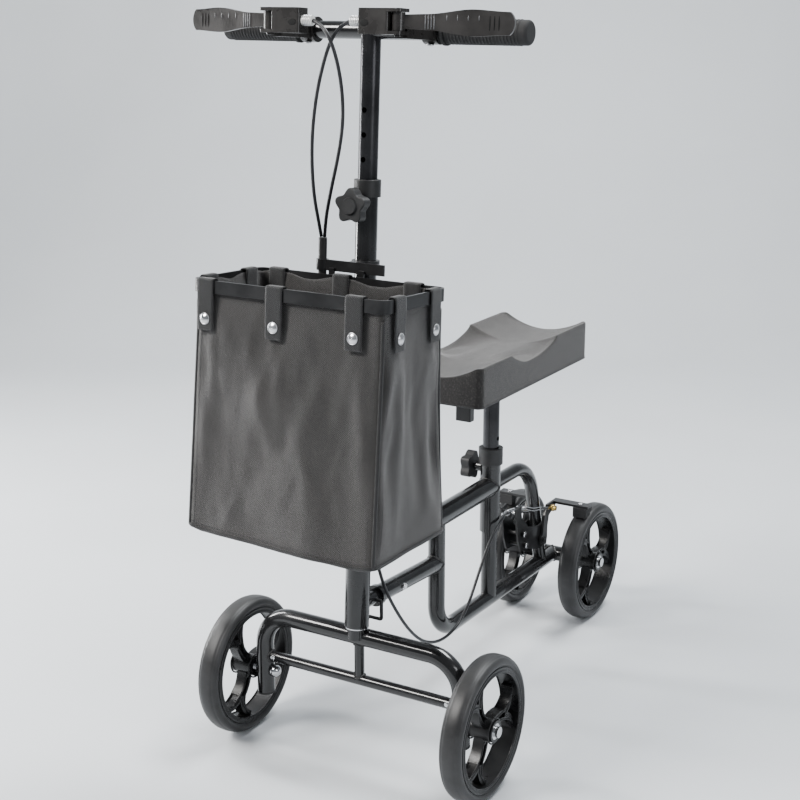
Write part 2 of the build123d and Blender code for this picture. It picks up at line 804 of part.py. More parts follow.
strap_out = 0.4 + strap_t
strap_in = rim_wall + bag_gap + bag_wall + 0.6 + strap_t


def strap_plane(x, y, turn):
    """Its x runs out of the rim's face, its y up along the column."""
    out = column_plane.x_dir * cos(radians(turn)) + column_plane.y_dir * sin(radians(turn))
    along = out.cross(column_plane.z_dir)
    return Plane(origin=column_point(x, y, 0), x_dir=out, z_dir=along)


with BuildPart() as basket_straps:
    for x, y, turn in strap_places:
        with BuildSketch(strap_plane(x, y, turn)):
            with BuildLine():
                Polyline(
                    (0.4, strap_low_h), (strap_out, strap_low_h),
                    (strap_out, rim_high_h + 0.5 + strap_t), (-strap_in, rim_high_h + 0.5 + strap_t),
                    (-strap_in, rim_high_h - 30), (-strap_in + strap_t, rim_high_h - 30),
                    (-strap_in + strap_t, rim_high_h + 0.5), (0.4, rim_high_h + 0.5),
                    (0.4, strap_low_h),
                )
            make_face()
        extrude(amount=strap_width / 2, both=True)
    for x, y, turn in strap_places:
        place = strap_plane(x, y, turn)
        hole = Plane(origin=place.from_local_coords(Vector(0, snap_h, 0)), x_dir=place.z_dir,
                     z_dir=place.x_dir)
        with BuildSketch(hole):
            Circle(snap_r / 2 + weld_gap)
        extrude(amount=strap_out + 1, mode=Mode.SUBTRACT)
save(basket_straps.part, "basket_straps")

snap_rise = 2.4
dome_curve = (snap_r ** 2 + snap_rise ** 2) / (2 * snap_rise)
dome_angle = asin(snap_r / dome_curve)
dome_mid = strap_out + 1 + snap_rise - dome_curve
with BuildPart() as basket_snaps:
    for x, y, turn in strap_places:
        place = strap_plane(x, y, turn)
        with BuildSketch(place):
            with BuildLine():
                Polyline(
                    (-rim_wall - bag_gap + rest_gap, snap_h),
                    (-rim_wall - bag_gap + rest_gap, snap_h + snap_r),
                    (0.35, snap_h + snap_r), (0.35, snap_h + snap_r / 2),
                    (strap_out + 0.05, snap_h + snap_r / 2), (strap_out + 0.05, snap_h + snap_r),
                    (strap_out + 1, snap_h + snap_r),
                )
                ThreePointArc((strap_out + 1, snap_h + snap_r),
                              (dome_mid + dome_curve * cos(dome_angle / 2),
                               snap_h + dome_curve * sin(dome_angle / 2)),
                              (strap_out + 1 + snap_rise, snap_h))
                Line((strap_out + 1 + snap_rise, snap_h), (-rim_wall - bag_gap + rest_gap, snap_h))
            make_face()
        revolve(axis=Axis(place.from_local_coords(Vector(0, snap_h, 0)), place.x_dir))
save(basket_snaps.part, "basket_snaps")

bracket_low_h = rim_high_h + 4
bracket_high_h = rim_high_h + 18
hook_places = (-31, 14)
splitter_x = -49.0
splitter_y = -27.0
splitter_low_h = 688.0
splitter_high_h = 736.0
splitter_r = 5.5
with BuildPart() as basket_bracket:
    with BuildSketch(level_plane(bracket_low_h)):
        Circle(column_od / 2 + 4)
        with Locations((0, -rim_back + 3.5 + 1.5)):
            Rectangle(92, 3)
        with Locations((0, -column_od / 2 - 8)):
            Rectangle(18, 17)
        Circle(column_od / 2 + weld_gap, mode=Mode.SUBTRACT)
        with Locations((splitter_x, splitter_y)):
            Circle(splitter_r + 2.5)
            Circle(splitter_r + weld_gap, mode=Mode.SUBTRACT)
    extrude(amount=bracket_high_h - bracket_low_h)
    with BuildSketch(level_plane(rim_high_h - rim_bar + 4)):
        for x in hook_places:
            with Locations((x, -rim_back + rest_gap + 1.5)):
                Rectangle(8, 3)
    extrude(amount=bracket_low_h + 3 - (rim_high_h - rim_bar + 4))
    with BuildSketch(level_plane(bracket_low_h)):
        for x in hook_places:
            with Locations((x, -rim_back + 2.5)):
                Rectangle(8, 5)
    extrude(amount=4)
save(basket_bracket.part, "basket_bracket")

cable_pitch = 5.2
with BuildPart() as cable_splitter:
    with BuildSketch(level_plane(splitter_low_h)):
        with Locations((splitter_x, splitter_y)):
            Circle(splitter_r)
    extrude(amount=splitter_high_h - splitter_low_h)
    chamfer(cable_splitter.edges().sort_by(Axis.Z)[-1], length=0.8)
save(cable_splitter.part, "cable_splitter")

# ---------------------------------------------------------------- frame

with BuildPart() as head_tube:
    with BuildSketch(level_plane(head_low_h)):
        Circle(head_od / 2)
    extrude(amount=head_high_h - head_low_h)
    add(rod(column_point(0, 0, stub_h), column_point(0, 64, stub_h), beam_od / 2 - 2.7))
    with BuildSketch(level_plane(head_low_h)):
        Circle(head_bore / 2)
    extrude(amount=head_high_h - head_low_h, mode=Mode.SUBTRACT)
save(head_tube.part, "head_tube")

cup_height = 8.0
with BuildPart() as headset_bearings:
    for low in (head_low_h, head_high_h - cup_height):
        with BuildSketch(level_plane(low)):
            Circle(head_bore / 2 - weld_gap)
            Circle(steerer_od / 2 + run_fit, mode=Mode.SUBTRACT)
        extrude(amount=cup_height)
    for low in (head_low_h - 1.5, head_high_h):
        with BuildSketch(level_plane(low)):
            Circle(head_od / 2)
            Circle(steerer_od / 2 + run_fit, mode=Mode.SUBTRACT)
        extrude(amount=1.5)
    add(rod((-arch_half / 2, front_axle_y, arch_z), (arch_half / 2, front_axle_y, arch_z),
            arch_od / 2 + 1), mode=Mode.SUBTRACT)
save(headset_bearings.part, "headset_bearings")

head_cut = rod(column_point(0, 0, 0), column_point(0, 0, stem_top_h), head_od / 2 + weld_gap)
rail_line = ((0, front_axle_y, rail_z), (0, seat_y, rail_z))
rail_cut = rod(*rail_line, rail_od / 2 + weld_gap)
seat_cut = rod((0, seat_y, 0), (0, seat_y, seat_tube_top_z), seat_tube_od / 2 + weld_gap)
loop_front_cut = rod((0, loop_y, low_rail_front_z), (0, loop_y, rail_z), loop_od / 2 + weld_gap)
low_rail_line = ((0, loop_y, low_rail_front_z), (0, rear_axle_y, wheel_r))
low_rail_cut = rod(*low_rail_line, loop_od / 2 + weld_gap)
cross_cut = rod((-cross_half, rear_axle_y, wheel_r), (cross_half, rear_axle_y, wheel_r),
                cross_od / 2 + weld_gap)

with BuildPart() as upper_rail:
    add(rod(*rail_line, rail_od / 2))
    add(rod(*rail_line, rail_od / 2 - tube_wall), mode=Mode.SUBTRACT)
    add(head_cut, mode=Mode.SUBTRACT)
    add(seat_cut, mode=Mode.SUBTRACT)
rail_solid = upper_rail.part.solids().sort_by(SortBy.VOLUME)[-1]
save(Part() + rail_solid, "upper_rail")

beam_front = 45.0
beam_end = column_plane.to_local_coords(Vector(0, loop_y, stub_h)).Y
with BuildPart() as lower_beam:
    add(rod(column_point(0, beam_front, stub_h), column_point(0, beam_end, stub_h), beam_od / 2))
    add(rod(column_point(0, beam_front, stub_h), column_point(0, beam_front + 7, stub_h), beam_od / 2 + 2.5))
    add(rod(column_point(0, beam_front - 1, stub_h), column_point(0, beam_end, stub_h),
            beam_od / 2 - 2.7 + weld_gap), mode=Mode.SUBTRACT)
    add(loop_front_cut, mode=Mode.SUBTRACT)
    add(rod(column_point(0, 104, stub_h), column_point(beam_od, 104, stub_h), 5 + run_fit),
        mode=Mode.SUBTRACT)
save(lower_beam.part, "lower_beam")

button_travel = 3.0
with BuildPart() as beam_button:
    add(rod(column_point(beam_od / 2 - 7.5, 104, stub_h), column_point(beam_od / 2 + 3.5, 104, stub_h), 5))
    fillet(beam_button.edges().sort_by(Axis.X)[-1], radius=2)
save(beam_button.part, "beam_button")

with BuildPart() as loop_tube:
    with BuildLine() as loop_route:
        FilletPolyline((0, loop_y, rail_z), (0, loop_y, low_rail_front_z), (0, rear_axle_y, wheel_r),
                       radius=loop_bend)
    with BuildSketch(Plane(origin=loop_route.line @ 0, z_dir=loop_route.line % 0)):
        Circle(loop_od / 2)
        Circle(loop_od / 2 - tube_wall, mode=Mode.SUBTRACT)
    sweep(path=loop_route.line)
    add(rail_cut, mode=Mode.SUBTRACT)
    add(cross_cut, mode=Mode.SUBTRACT)
loop_solid = loop_tube.part.solids().sort_by(SortBy.VOLUME)[-1]
save(Part() + loop_solid, "loop_tube")

boss_z = 322.0
with BuildPart() as seat_tube:
    with BuildSketch(Plane.XY.offset(seat_tube_step_z)):
        with Locations((0, seat_y)):
            Circle(seat_tube_od / 2)
    extrude(amount=seat_tube_top_z - seat_tube_step_z)
    with BuildSketch(Plane.XY.offset(low_rail_front_z - 4)):
        with Locations((0, seat_y)):
            Circle(seat_tube_foot_od / 2)
    extrude(amount=seat_tube_step_z - low_rail_front_z + 4)
    add(rod((-seat_tube_od / 2 - boss_out, seat_y, boss_z), (0, seat_y, boss_z), 8))
    with BuildSketch(Plane.XY.offset(seat_tube_step_z + 4)):
        with Locations((0, seat_y)):
            Circle(post_od / 2 + slide_fit)
    extrude(amount=seat_tube_top_z - seat_tube_step_z, mode=Mode.SUBTRACT)
    with BuildSketch(Plane.XY.offset(0)):
        with Locations((0, seat_y)):
            Circle(seat_tube_foot_od / 2 - tube_wall)
    extrude(amount=seat_tube_top_z, mode=Mode.SUBTRACT)
    add(rod((-seat_tube_od / 2 - boss_out - 1, seat_y, boss_z), (0, seat_y, boss_z),
            knob_stud_r + run_fit), mode=Mode.SUBTRACT)
    add(low_rail_cut, mode=Mode.SUBTRACT)
save(Part() + seat_tube.part.solids().sort_by(SortBy.VOLUME)[-1], "seat_tube")

with BuildPart() as seat_collar:
    with BuildSketch(Plane.XY.offset(seat_collar_low_z)):
        with Locations((0, seat_y)):
            Circle(seat_tube_od / 2 + 3)
            Circle(seat_tube_od / 2 + weld_gap, mode=Mode.SUBTRACT)
    extrude(amount=seat_tube_top_z + weld_gap - seat_collar_low_z)
    with BuildSketch(Plane.XY.offset(seat_tube_top_z + weld_gap)):
        with Locations((0, seat_y)):
            Circle(seat_tube_od / 2 + 3)
            Circle(post_od / 2 + slide_fit, mode=Mode.SUBTRACT)
    extrude(amount=seat_collar_top_z - seat_tube_top_z)
save(seat_collar.part, "seat_collar")

seat_face = Plane(origin=(-seat_tube_od / 2 - boss_out, seat_y, boss_z), x_dir=(0, 0, 1), z_dir=(-1, 0, 0))
make_knob(seat_face, 5.0, boss_out, "seat_knob")

with BuildPart() as rear_hoop:
    with BuildLine() as hoop_route:
        FilletPolyline((0, seat_y, hoop_z), (0, front_axle_y + hoop_corner, hoop_z - 1),
                       (0, front_axle_y + hoop_foot, wheel_r), radius=hoop_bend)
    with BuildSketch(Plane(origin=hoop_route.line @ 0, z_dir=hoop_route.line % 0)):
        Circle(hoop_od / 2)
        Circle(hoop_od / 2 - tube_wall, mode=Mode.SUBTRACT)
    sweep(path=hoop_route.line)
    add(seat_cut, mode=Mode.SUBTRACT)
    add(low_rail_cut, mode=Mode.SUBTRACT)
save(Part() + rear_hoop.part.solids().sort_by(SortBy.VOLUME)[-1], "rear_hoop")

with BuildPart() as rear_cross_tube:
    add(rod((-cross_half, rear_axle_y, wheel_r), (cross_half, rear_axle_y, wheel_r), cross_od / 2))
    add(rod((-cross_half - 1, rear_axle_y, wheel_r), (cross_half + 1, rear_axle_y, wheel_r),
            bolt_r + weld_gap), mode=Mode.SUBTRACT)
save(rear_cross_tube.part, "rear_cross_tube")

# ---------------------------------------------------------------- rear brake

cheek_in = hoop_od / 2 + 0.05
cheek_t = 3.5
shaft_setback = 545.5
shaft_z = 154.0
shaft_r = 4.0
bracket_bolts = ((476, 186), (484, 164))
with BuildPart() as brake_bracket:
    for side in (1, -1):
        with BuildSketch(yz_plane(side * cheek_in)):
            with BuildLine():
                Polyline((452, 234), (470, 236), (474, 214), (500, 190), (540, 180), (566, 184),
                         (573, 150), (560, 138), (536, 140), (500, 152), (472, 156), (462, 178),
                         (452, 234))
            make_face()
            with Locations((shaft_setback, shaft_z)):
                Circle(shaft_r + run_fit, mode=Mode.SUBTRACT)
            with Locations(*bracket_bolts):
                Circle(3 + weld_gap, mode=Mode.SUBTRACT)
        extrude(amount=side * cheek_t)
    for bolt_setback, bolt_z in bracket_bolts:
        bolt_y = front_axle_y + bolt_setback
        add(rod((-cheek_in - cheek_t - 3, bolt_y, bolt_z), (cheek_in + cheek_t + 1, bolt_y, bolt_z), 3))
        add(rod((cheek_in + cheek_t + weld_gap, bolt_y, bolt_z),
                (cheek_in + cheek_t + 4, bolt_y, bolt_z), 5.5))
save(brake_bracket.part, "brake_bracket")

barrel_z = 228.0
barrel_front = 448.0
with BuildPart() as brake_linkage:
    add(rod((0, front_axle_y + barrel_front, barrel_z),
            (0, front_axle_y + barrel_front + 26, barrel_z - 4), 5))
    add(rod((0, front_axle_y + barrel_front + 25, barrel_z - 4), (0, front_axle_y + 532, 207), 1.3))
    add(rod((0, front_axle_y + 492, 219.2), (0, front_axle_y + 528, 208), 4.2))
    add(rod((-cheek_in + 0.05, front_axle_y + barrel_front + 13, barrel_z - 2),
            (cheek_in - 0.05, front_axle_y + barrel_front + 13, barrel_z - 2), 3))
save(brake_linkage.part, "brake_linkage")

arm_in = cheek_in + cheek_t + 1.5
arm_t = 4.0
wing_out = rear_track / 2 + 14
wing_z = 208.0
pad_back = 604.0
pad_front = 580.0
with BuildPart() as brake_arms:
    add(rod((-arm_in - arm_t - 3, front_axle_y + shaft_setback, shaft_z),
            (arm_in + arm_t + 3, front_axle_y + shaft_setback, shaft_z), shaft_r))
    for side in (1, -1):
        with BuildSketch(yz_plane(side * arm_in)):
            with BuildLine():
                Polyline((539, 150), (555, 148), (566, 192), (pad_front + 20, wing_z),
                         (pad_front + 20, wing_z + 4),
                         (560, wing_z + 4), (550, 196), (539, 150))
            make_face()
            with Locations((shaft_setback, shaft_z)):
                Circle(9)
        extrude(amount=side * arm_t)
        with BuildSketch(yz_plane(side * arm_in)):
            with Locations((pad_front + 11, wing_z + 2)):
                Rectangle(18, 4)
        extrude(amount=side * (wing_out - arm_in))
save(brake_arms.part, "brake_arms")

pad_swing_gap = 3.2
with BuildPart() as brake_pads:
    for side in (1, -1):
        with BuildSketch(yz_plane(side * (rear_track / 2 - 12))):
            with Locations(((pad_front + pad_back) / 2, wing_z - 9 - 0.03)):
                Rectangle(pad_back - pad_front, 18)
            with Locations((wheelbase, wheel_r)):
                Circle(wheel_r + pad_swing_gap, mode=Mode.SUBTRACT)
        extrude(amount=side * 24)
save(brake_pads.part, "brake_pads")

# ---------------------------------------------------------------- brace latch

latch_pivot_y = 33.0
latch_half = 18.5
latch_drop = 27.0
latch_wire_r = 2.4
with BuildPart() as brace_latch:
    with BuildLine() as latch_route:
        FilletPolyline(
            column_point(beam_od / 2 - 2.0, latch_pivot_y, stub_h),
            column_point(latch_half, latch_pivot_y, stub_h),
            column_point(latch_half, latch_pivot_y + latch_drop * rake_sin, stub_h - latch_drop),
            column_point(-latch_half, latch_pivot_y + latch_drop * rake_sin, stub_h - latch_drop),
            column_point(-latch_half, latch_pivot_y, stub_h),
            column_point(-beam_od / 2 + 2.0, latch_pivot_y, stub_h),
            radius=2.5,
        )
    with BuildSketch(Plane(origin=latch_route.line @ 0, z_dir=latch_route.line % 0)):
        Circle(latch_wire_r)
    sweep(path=latch_route.line)
save(brace_latch.part, "brace_latch")

# ---------------------------------------------------------------- knee pad

with BuildPart() as seat_post:
    with BuildSketch(Plane.XY.offset(post_low_z)):
        with Locations((0, seat_y)):
            Circle(post_od / 2)
            Circle(post_od / 2 - tube_wall, mode=Mode.SUBTRACT)
    extrude(amount=seat_rail_low_z - weld_gap - post_low_z)
    for step in range(seat_hole_count):
        hole_z = seat_hole_z - step * seat_hole_pitch
        add(rod((-post_od, seat_y, hole_z), (post_od, seat_y, hole_z), hole_d / 2), mode=Mode.SUBTRACT)
save(seat_post.part, "seat_post")

plate_width = 124.0
plate_length = 30.0
plate_places = (-62, 62)
screw_x = plate_width / 3
screw_r = 3.0
screw_head_t = 4.0
seat_rail_top_z = seat_rail_low_z + seat_rail_height
rail_front = seat_y - seat_rail_length / 2
with BuildPart() as seat_rail:
    with BuildSketch(Plane.XY.offset(seat_rail_low_z)):
        with Locations((0, seat_y)):
            Rectangle(seat_rail_width, seat_rail_length)
    extrude(amount=seat_rail_height)
    with BuildSketch(Plane.XY.offset(seat_block_low_z)):
        with Locations((0, rail_front + seat_block_length / 2)):
            RectangleRounded(seat_rail_width, seat_block_length, 2)
    extrude(amount=seat_rail_low_z + 1 - seat_block_low_z)
    with BuildSketch(Plane(origin=(0, rail_front, seat_rail_low_z + seat_rail_height / 2),
                           x_dir=(1, 0, 0), z_dir=(0, -1, 0))):
        Rectangle(seat_rail_width - 2 * tube_wall, seat_rail_height - 2 * tube_wall)
    extrude(amount=-seat_rail_length, mode=Mode.SUBTRACT)
    for place in plate_places:
        with BuildSketch(Plane.XY.offset(seat_rail_top_z)):
            with Locations((0, seat_y + place)):
                Rectangle(plate_width, plate_length)
        extrude(amount=pad_low_z - weld_gap - seat_rail_top_z)
    for place in plate_places:
        for side in (1, -1):
            add(rod((side * screw_x, seat_y + place, seat_rail_top_z - 1),
                    (side * screw_x, seat_y + place, pad_low_z + 1), screw_r + weld_gap),
                mode=Mode.SUBTRACT)
save(seat_rail.part, "seat_rail")

with BuildPart() as seat_screws:
    for place in plate_places:
        for side in (1, -1):
            x = side * screw_x
            y = seat_y + place
            head_low_z = seat_rail_top_z - screw_head_t
            add(rod((x, y, head_low_z), (x, y, pad_low_z + board_t - 1), screw_r))
            add(rod((x, y, head_low_z), (x, y, seat_rail_top_z - weld_gap), 2 * screw_r))
save(seat_screws.part, "seat_screws")

pad_mid_y = seat_y
with BuildPart() as seat_base:
    with BuildSketch(Plane.XY.offset(pad_low_z)):
        with Locations((0, pad_mid_y)):
            RectangleRounded(pad_width - 2 * board_inset, pad_length - 2 * board_inset, 20)
    extrude(amount=board_t)
    for place in plate_places:
        for side in (1, -1):
            x = side * screw_x
            y = seat_y + place
            add(rod((x, y, pad_low_z - 1), (x, y, pad_low_z + board_t - 1 + weld_gap), screw_r + weld_gap),
                mode=Mode.SUBTRACT)
save(seat_base.part, "seat_base")

pad_top_z = pad_low_z + pad_height
trough_depth = 20.0
scoop_depth = 20.0
scoop_length = 154.0
scoop_setback = 174.0            # from the pad's front to the middle of the two scoops
scoop_in = 30.0
scoop_r = (scoop_length ** 2 / 4 + scoop_depth ** 2) / (2 * scoop_depth)
pad_front_y = pad_mid_y - pad_length / 2
with BuildPart() as seat_pad:
    with BuildSketch(Plane(origin=(0, pad_front_y, 0), x_dir=(1, 0, 0), z_dir=(0, -1, 0))):
        with BuildLine():
            half = pad_width / 2
            Polyline((-half + 2, pad_top_z), (-half, pad_top_z - 2),
                     (-half, pad_low_z + board_t + rest_gap), (half, pad_low_z + board_t + rest_gap),
                     (half, pad_top_z - 2), (half - 2, pad_top_z))
            ThreePointArc((half - 2, pad_top_z), (0, pad_top_z - trough_depth), (-half + 2, pad_top_z))
        make_face()
    extrude(amount=-pad_length)
    for side in (1, -1):
        scoop_y = pad_front_y + scoop_setback
        scoop_z = pad_top_z - scoop_depth + scoop_r
        add(rod((side * scoop_in, scoop_y, scoop_z), (side * pad_width, scoop_y, scoop_z), scoop_r),
            mode=Mode.SUBTRACT)
save(seat_pad.part, "seat_pad")

# ---------------------------------------------------------------- cables

upper_left_route = [
    column_point(*p) for p in (
        (-body_in + ferrule_length + cable_end_gap, -cable_y, lever_h), (-13, -93, 1000), (1, -95, 984),
        (9, -90, 957), (11, -81, 922), (6, -70, 884), (-8, -57, 845), (-24, -46, 806), (-35, -38, 778),
        (-43, -31, 755), (splitter_x + cable_pitch / 2, splitter_y, splitter_high_h + cable_end_gap),
    )
]
upper_right_route = [
    column_point(*p) for p in (
        (body_in - ferrule_length - cable_end_gap, -cable_y, lever_h), (13, -88, 1001), (-4, -85, 984),
        (-18, -80, 956), (-32, -73, 918), (-44, -63, 875), (-51, -53, 832), (-54, -42, 789),
        (-53, -32, 757), (splitter_x - cable_pitch / 2, splitter_y, splitter_high_h + cable_end_gap),
    )
]
with BuildPart() as upper_cables:
    add(cable(upper_left_route, "upper_left_cable"))
    add(cable(upper_right_route, "upper_right_cable"))
save(upper_cables.part, "upper_cables")

fold_route = [
    column_point(*p) for p in (
        (splitter_x, splitter_y, splitter_low_h - cable_rest_gap),
        (-49, -28, 662), (-44, -27, 625), (-39, -26, 585),
        (-36, -27, 545), (-30, -28, 508), (-15, -29, 475), (5, -27, 449), (18, -18, 422), (22, -5, 399),
        (clip_x, clip_y, clip_h + 5 + cable_end_gap),
    )
]
save(cable(fold_route, "fold_cable"), "fold_cable")

rear_route = [
    column_point(clip_x, clip_y, clip_h - 5 - cable_rest_gap),
] + [
    Vector(x, front_axle_y + y, z) for x, y, z in (
        (20.8, 5, 335), (21.5, 12, 298), (22.5, 28, 256), (23.5, 56, 212), (24.5, 91, 168), (25.5, 128, 135),
        (26, 168, 117), (26, 206, 113), (25.5, 241, 120), (25, 272, 139), (24, 298, 168), (23.5, 324, 199),
        (23, 352, 225), (22, 385, 239), (16, 408, 241), (6.5, 429, 234),
        (0, barrel_front - cable_end_gap, barrel_z + 0.1),
    )
]
save(cable(rear_route, "rear_cable"), "rear_cable")

print("front axle y", round(front_axle_y, 2), "rear axle y", round(rear_axle_y, 2))
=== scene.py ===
"""The looks of a knee scooter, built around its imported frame. Metres, +Z up, front faces -Y."""

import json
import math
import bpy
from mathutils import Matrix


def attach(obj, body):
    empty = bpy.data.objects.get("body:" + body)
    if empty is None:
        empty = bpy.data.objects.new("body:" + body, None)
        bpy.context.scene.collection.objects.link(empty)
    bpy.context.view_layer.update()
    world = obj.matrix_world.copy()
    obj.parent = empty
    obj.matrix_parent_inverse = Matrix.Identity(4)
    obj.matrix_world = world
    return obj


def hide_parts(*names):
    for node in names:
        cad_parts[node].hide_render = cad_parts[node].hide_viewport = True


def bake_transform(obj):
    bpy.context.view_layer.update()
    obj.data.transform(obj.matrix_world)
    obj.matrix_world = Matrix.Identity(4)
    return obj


bl_info = {
    "name": "Knee Scooter",
    "version": (1, 0, 0),
    "blender": (4, 5, 0),
    "location": "3D View > Sidebar > Scooter",
    "description": "Builds the cushion, bag, cables, tyres, trim and finishes of a knee scooter",
    "category": "Object",
}

import bpy
from mathutils import Vector, noise

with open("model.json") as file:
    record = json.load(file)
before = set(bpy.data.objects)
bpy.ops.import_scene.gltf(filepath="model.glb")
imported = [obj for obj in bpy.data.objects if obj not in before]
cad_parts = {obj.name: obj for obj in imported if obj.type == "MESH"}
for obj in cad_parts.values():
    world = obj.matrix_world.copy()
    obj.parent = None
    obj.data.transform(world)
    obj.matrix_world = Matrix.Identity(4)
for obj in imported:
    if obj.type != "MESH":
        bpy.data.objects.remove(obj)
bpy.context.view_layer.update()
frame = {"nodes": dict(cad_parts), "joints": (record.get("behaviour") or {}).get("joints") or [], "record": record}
NODES = frame["nodes"]
SLOT_OF = {row["node"]: row["material_slot"] for row in frame["record"]["subparts"]}
JOINTS = {joint["name"]: joint for joint in frame["joints"]}
MM = 0.001

COLUMN_UP = Vector(JOINTS["steering_turn"]["axis"]).normalized()
COLUMN_BACK = Vector((0, COLUMN_UP.z, -COLUMN_UP.y))
COLUMN_FOOT = Vector(JOINTS["steering_turn"]["pos_m"])
COLUMN_FOOT = COLUMN_FOOT - COLUMN_UP * (COLUMN_FOOT.z / COLUMN_UP.z)
FRONT_AXLE_Y = JOINTS["front_left_wheel_spin"]["pos_m"][1]


def on_column(x, y, h):
    """A place across, behind and up along the column, given in millimetres."""
    return COLUMN_FOOT + Vector((x * MM, 0, 0)) + COLUMN_BACK * (y * MM) + COLUMN_UP * (h * MM)


def behind_axle(x, setback, z):
    """A place across, behind the front axle and above the floor, given in millimetres."""
    return Vector((x * MM, FRONT_AXLE_Y + setback * MM, z * MM))


# ---------------------------------------------------------------- sizes and colours to set


class ScooterSizes(bpy.types.PropertyGroup):
    cable_d: bpy.props.FloatProperty(
        name="Cable diameter", description="Across a brake cable's housing",
        default=0.0046, min=0.002, max=0.01, unit="LENGTH")
    piping_r: bpy.props.FloatProperty(
        name="Piping radius", description="Radius of the bag's corner piping",
        default=0.0026, min=0.0005, max=0.006, unit="LENGTH")
    fold_depth: bpy.props.FloatProperty(
        name="Fold depth", description="How far the bag's soft folds stand in and out",
        default=0.0062, min=0.0, max=0.01, unit="LENGTH")
    trough: bpy.props.FloatProperty(
        name="Knee trough", description="Depth of the cushion's lengthwise trough",
        default=0.020, min=0.0, max=0.04, unit="LENGTH")
    scoop: bpy.props.FloatProperty(
        name="Leg scoop", description="Depth of the two scoops in the cushion's walls",
        default=0.0195, min=0.0, max=0.04, unit="LENGTH")
    weld_r: bpy.props.FloatProperty(
        name="Weld radius", description="Radius of a weld bead",
        default=0.0017, min=0.0005, max=0.004, unit="LENGTH")
    groove: bpy.props.FloatProperty(
        name="Tread groove", description="Depth of the tyre's grooves",
        default=0.0004, min=0.0, max=0.003, unit="LENGTH")


class ScooterColours(bpy.types.PropertyGroup):
    paint: bpy.props.FloatVectorProperty(
        name="Paint", description="Colour of the painted tubes",
        default=(0.012, 0.012, 0.013), min=0, max=1, subtype="COLOR")
    bag: bpy.props.FloatVectorProperty(
        name="Bag cloth", description="Colour of the bag's cloth",
        default=(0.028, 0.0255, 0.0245), min=0, max=1, subtype="COLOR")
    cushion: bpy.props.FloatVectorProperty(
        name="Cushion cover", description="Colour of the cushion's cover",
        default=(0.027, 0.025, 0.0245), min=0, max=1, subtype="COLOR")
    tyre: bpy.props.FloatVectorProperty(
        name="Tyre", description="Colour of the tyres",
        default=(0.035, 0.035, 0.036), min=0, max=1, subtype="COLOR")
    floor: bpy.props.FloatVectorProperty(
        name="Floor", description="Colour of the pale floor",
        default=(0.66, 0.68, 0.70), min=0, max=1, subtype="COLOR")


def sizes():
    return bpy.context.scene.scooter_sizes


def colours():
    return bpy.context.scene.scooter_colours


# ---------------------------------------------------------------- shared shader groups


def new_group(name, inputs, outputs):
    tree = bpy.data.node_groups.new(name, "ShaderNodeTree")
    for label, kind, value in inputs:
        socket = tree.interface.new_socket(name=label, in_out="INPUT", socket_type=kind)
        if value is not None:
            socket.default_value = value
    for label, kind in outputs:
        tree.interface.new_socket(name=label, in_out="OUTPUT", socket_type=kind)
    return tree, tree.nodes.new("NodeGroupInput"), tree.nodes.new("NodeGroupOutput")


def math_node(tree, operation, first, second=None, third=None, clamp=False):
    node = tree.nodes.new("ShaderNodeMath")
    node.operation = operation
    node.use_clamp = clamp
    for socket, value in zip(node.inputs, (first, second, third)):
        if value is None:
            continue
        if isinstance(value, (int, float)):
            socket.default_value = value
        else:
            tree.links.new(value, socket)
    return node.outputs[0]


def noise_node(tree, coords, scale, detail=3.0, rough=0.55):
    node = tree.nodes.new("ShaderNodeTexNoise")
    tree.links.new(coords, node.inputs["Vector"])
    if isinstance(scale, (int, float)):
        node.inputs["Scale"].default_value = scale
    else:
        tree.links.new(scale, node.inputs["Scale"])
    node.inputs["Detail"].default_value = detail
    node.inputs["Roughness"].default_value = rough
    return node.outputs["Fac"]


def ramp_node(tree, value, low, high):
    node = tree.nodes.new("ShaderNodeMapRange")
    node.interpolation_type = "SMOOTHSTEP"
    tree.links.new(value, node.inputs["Value"])
    node.inputs["From Min"].default_value = low
    node.inputs["From Max"].default_value = high
    return node.outputs["Result"]


def grain_group():
    """Moulded or sprayed grain: a height and a soft blotch mask."""
    tree, given, put = new_group(
        "surface grain", [("Scale", "NodeSocketFloat", 900.0)],
        [("Height", "NodeSocketFloat"), ("Blotch", "NodeSocketFloat")])
    place = tree.nodes.new("ShaderNodeTexCoord").outputs["Object"]
    fine = noise_node(tree, place, given.outputs["Scale"], 4.0, 0.6)
    cells = tree.nodes.new("ShaderNodeTexVoronoi")
    tree.links.new(place, cells.inputs["Vector"])
    tree.links.new(given.outputs["Scale"], cells.inputs["Scale"])
    both = math_node(tree, "MULTIPLY_ADD", cells.outputs["Distance"], 0.6, fine)
    tree.links.new(both, put.inputs["Height"])
    tree.links.new(noise_node(tree, place, 14.0, 5.0, 0.6), put.inputs["Blotch"])
    return tree


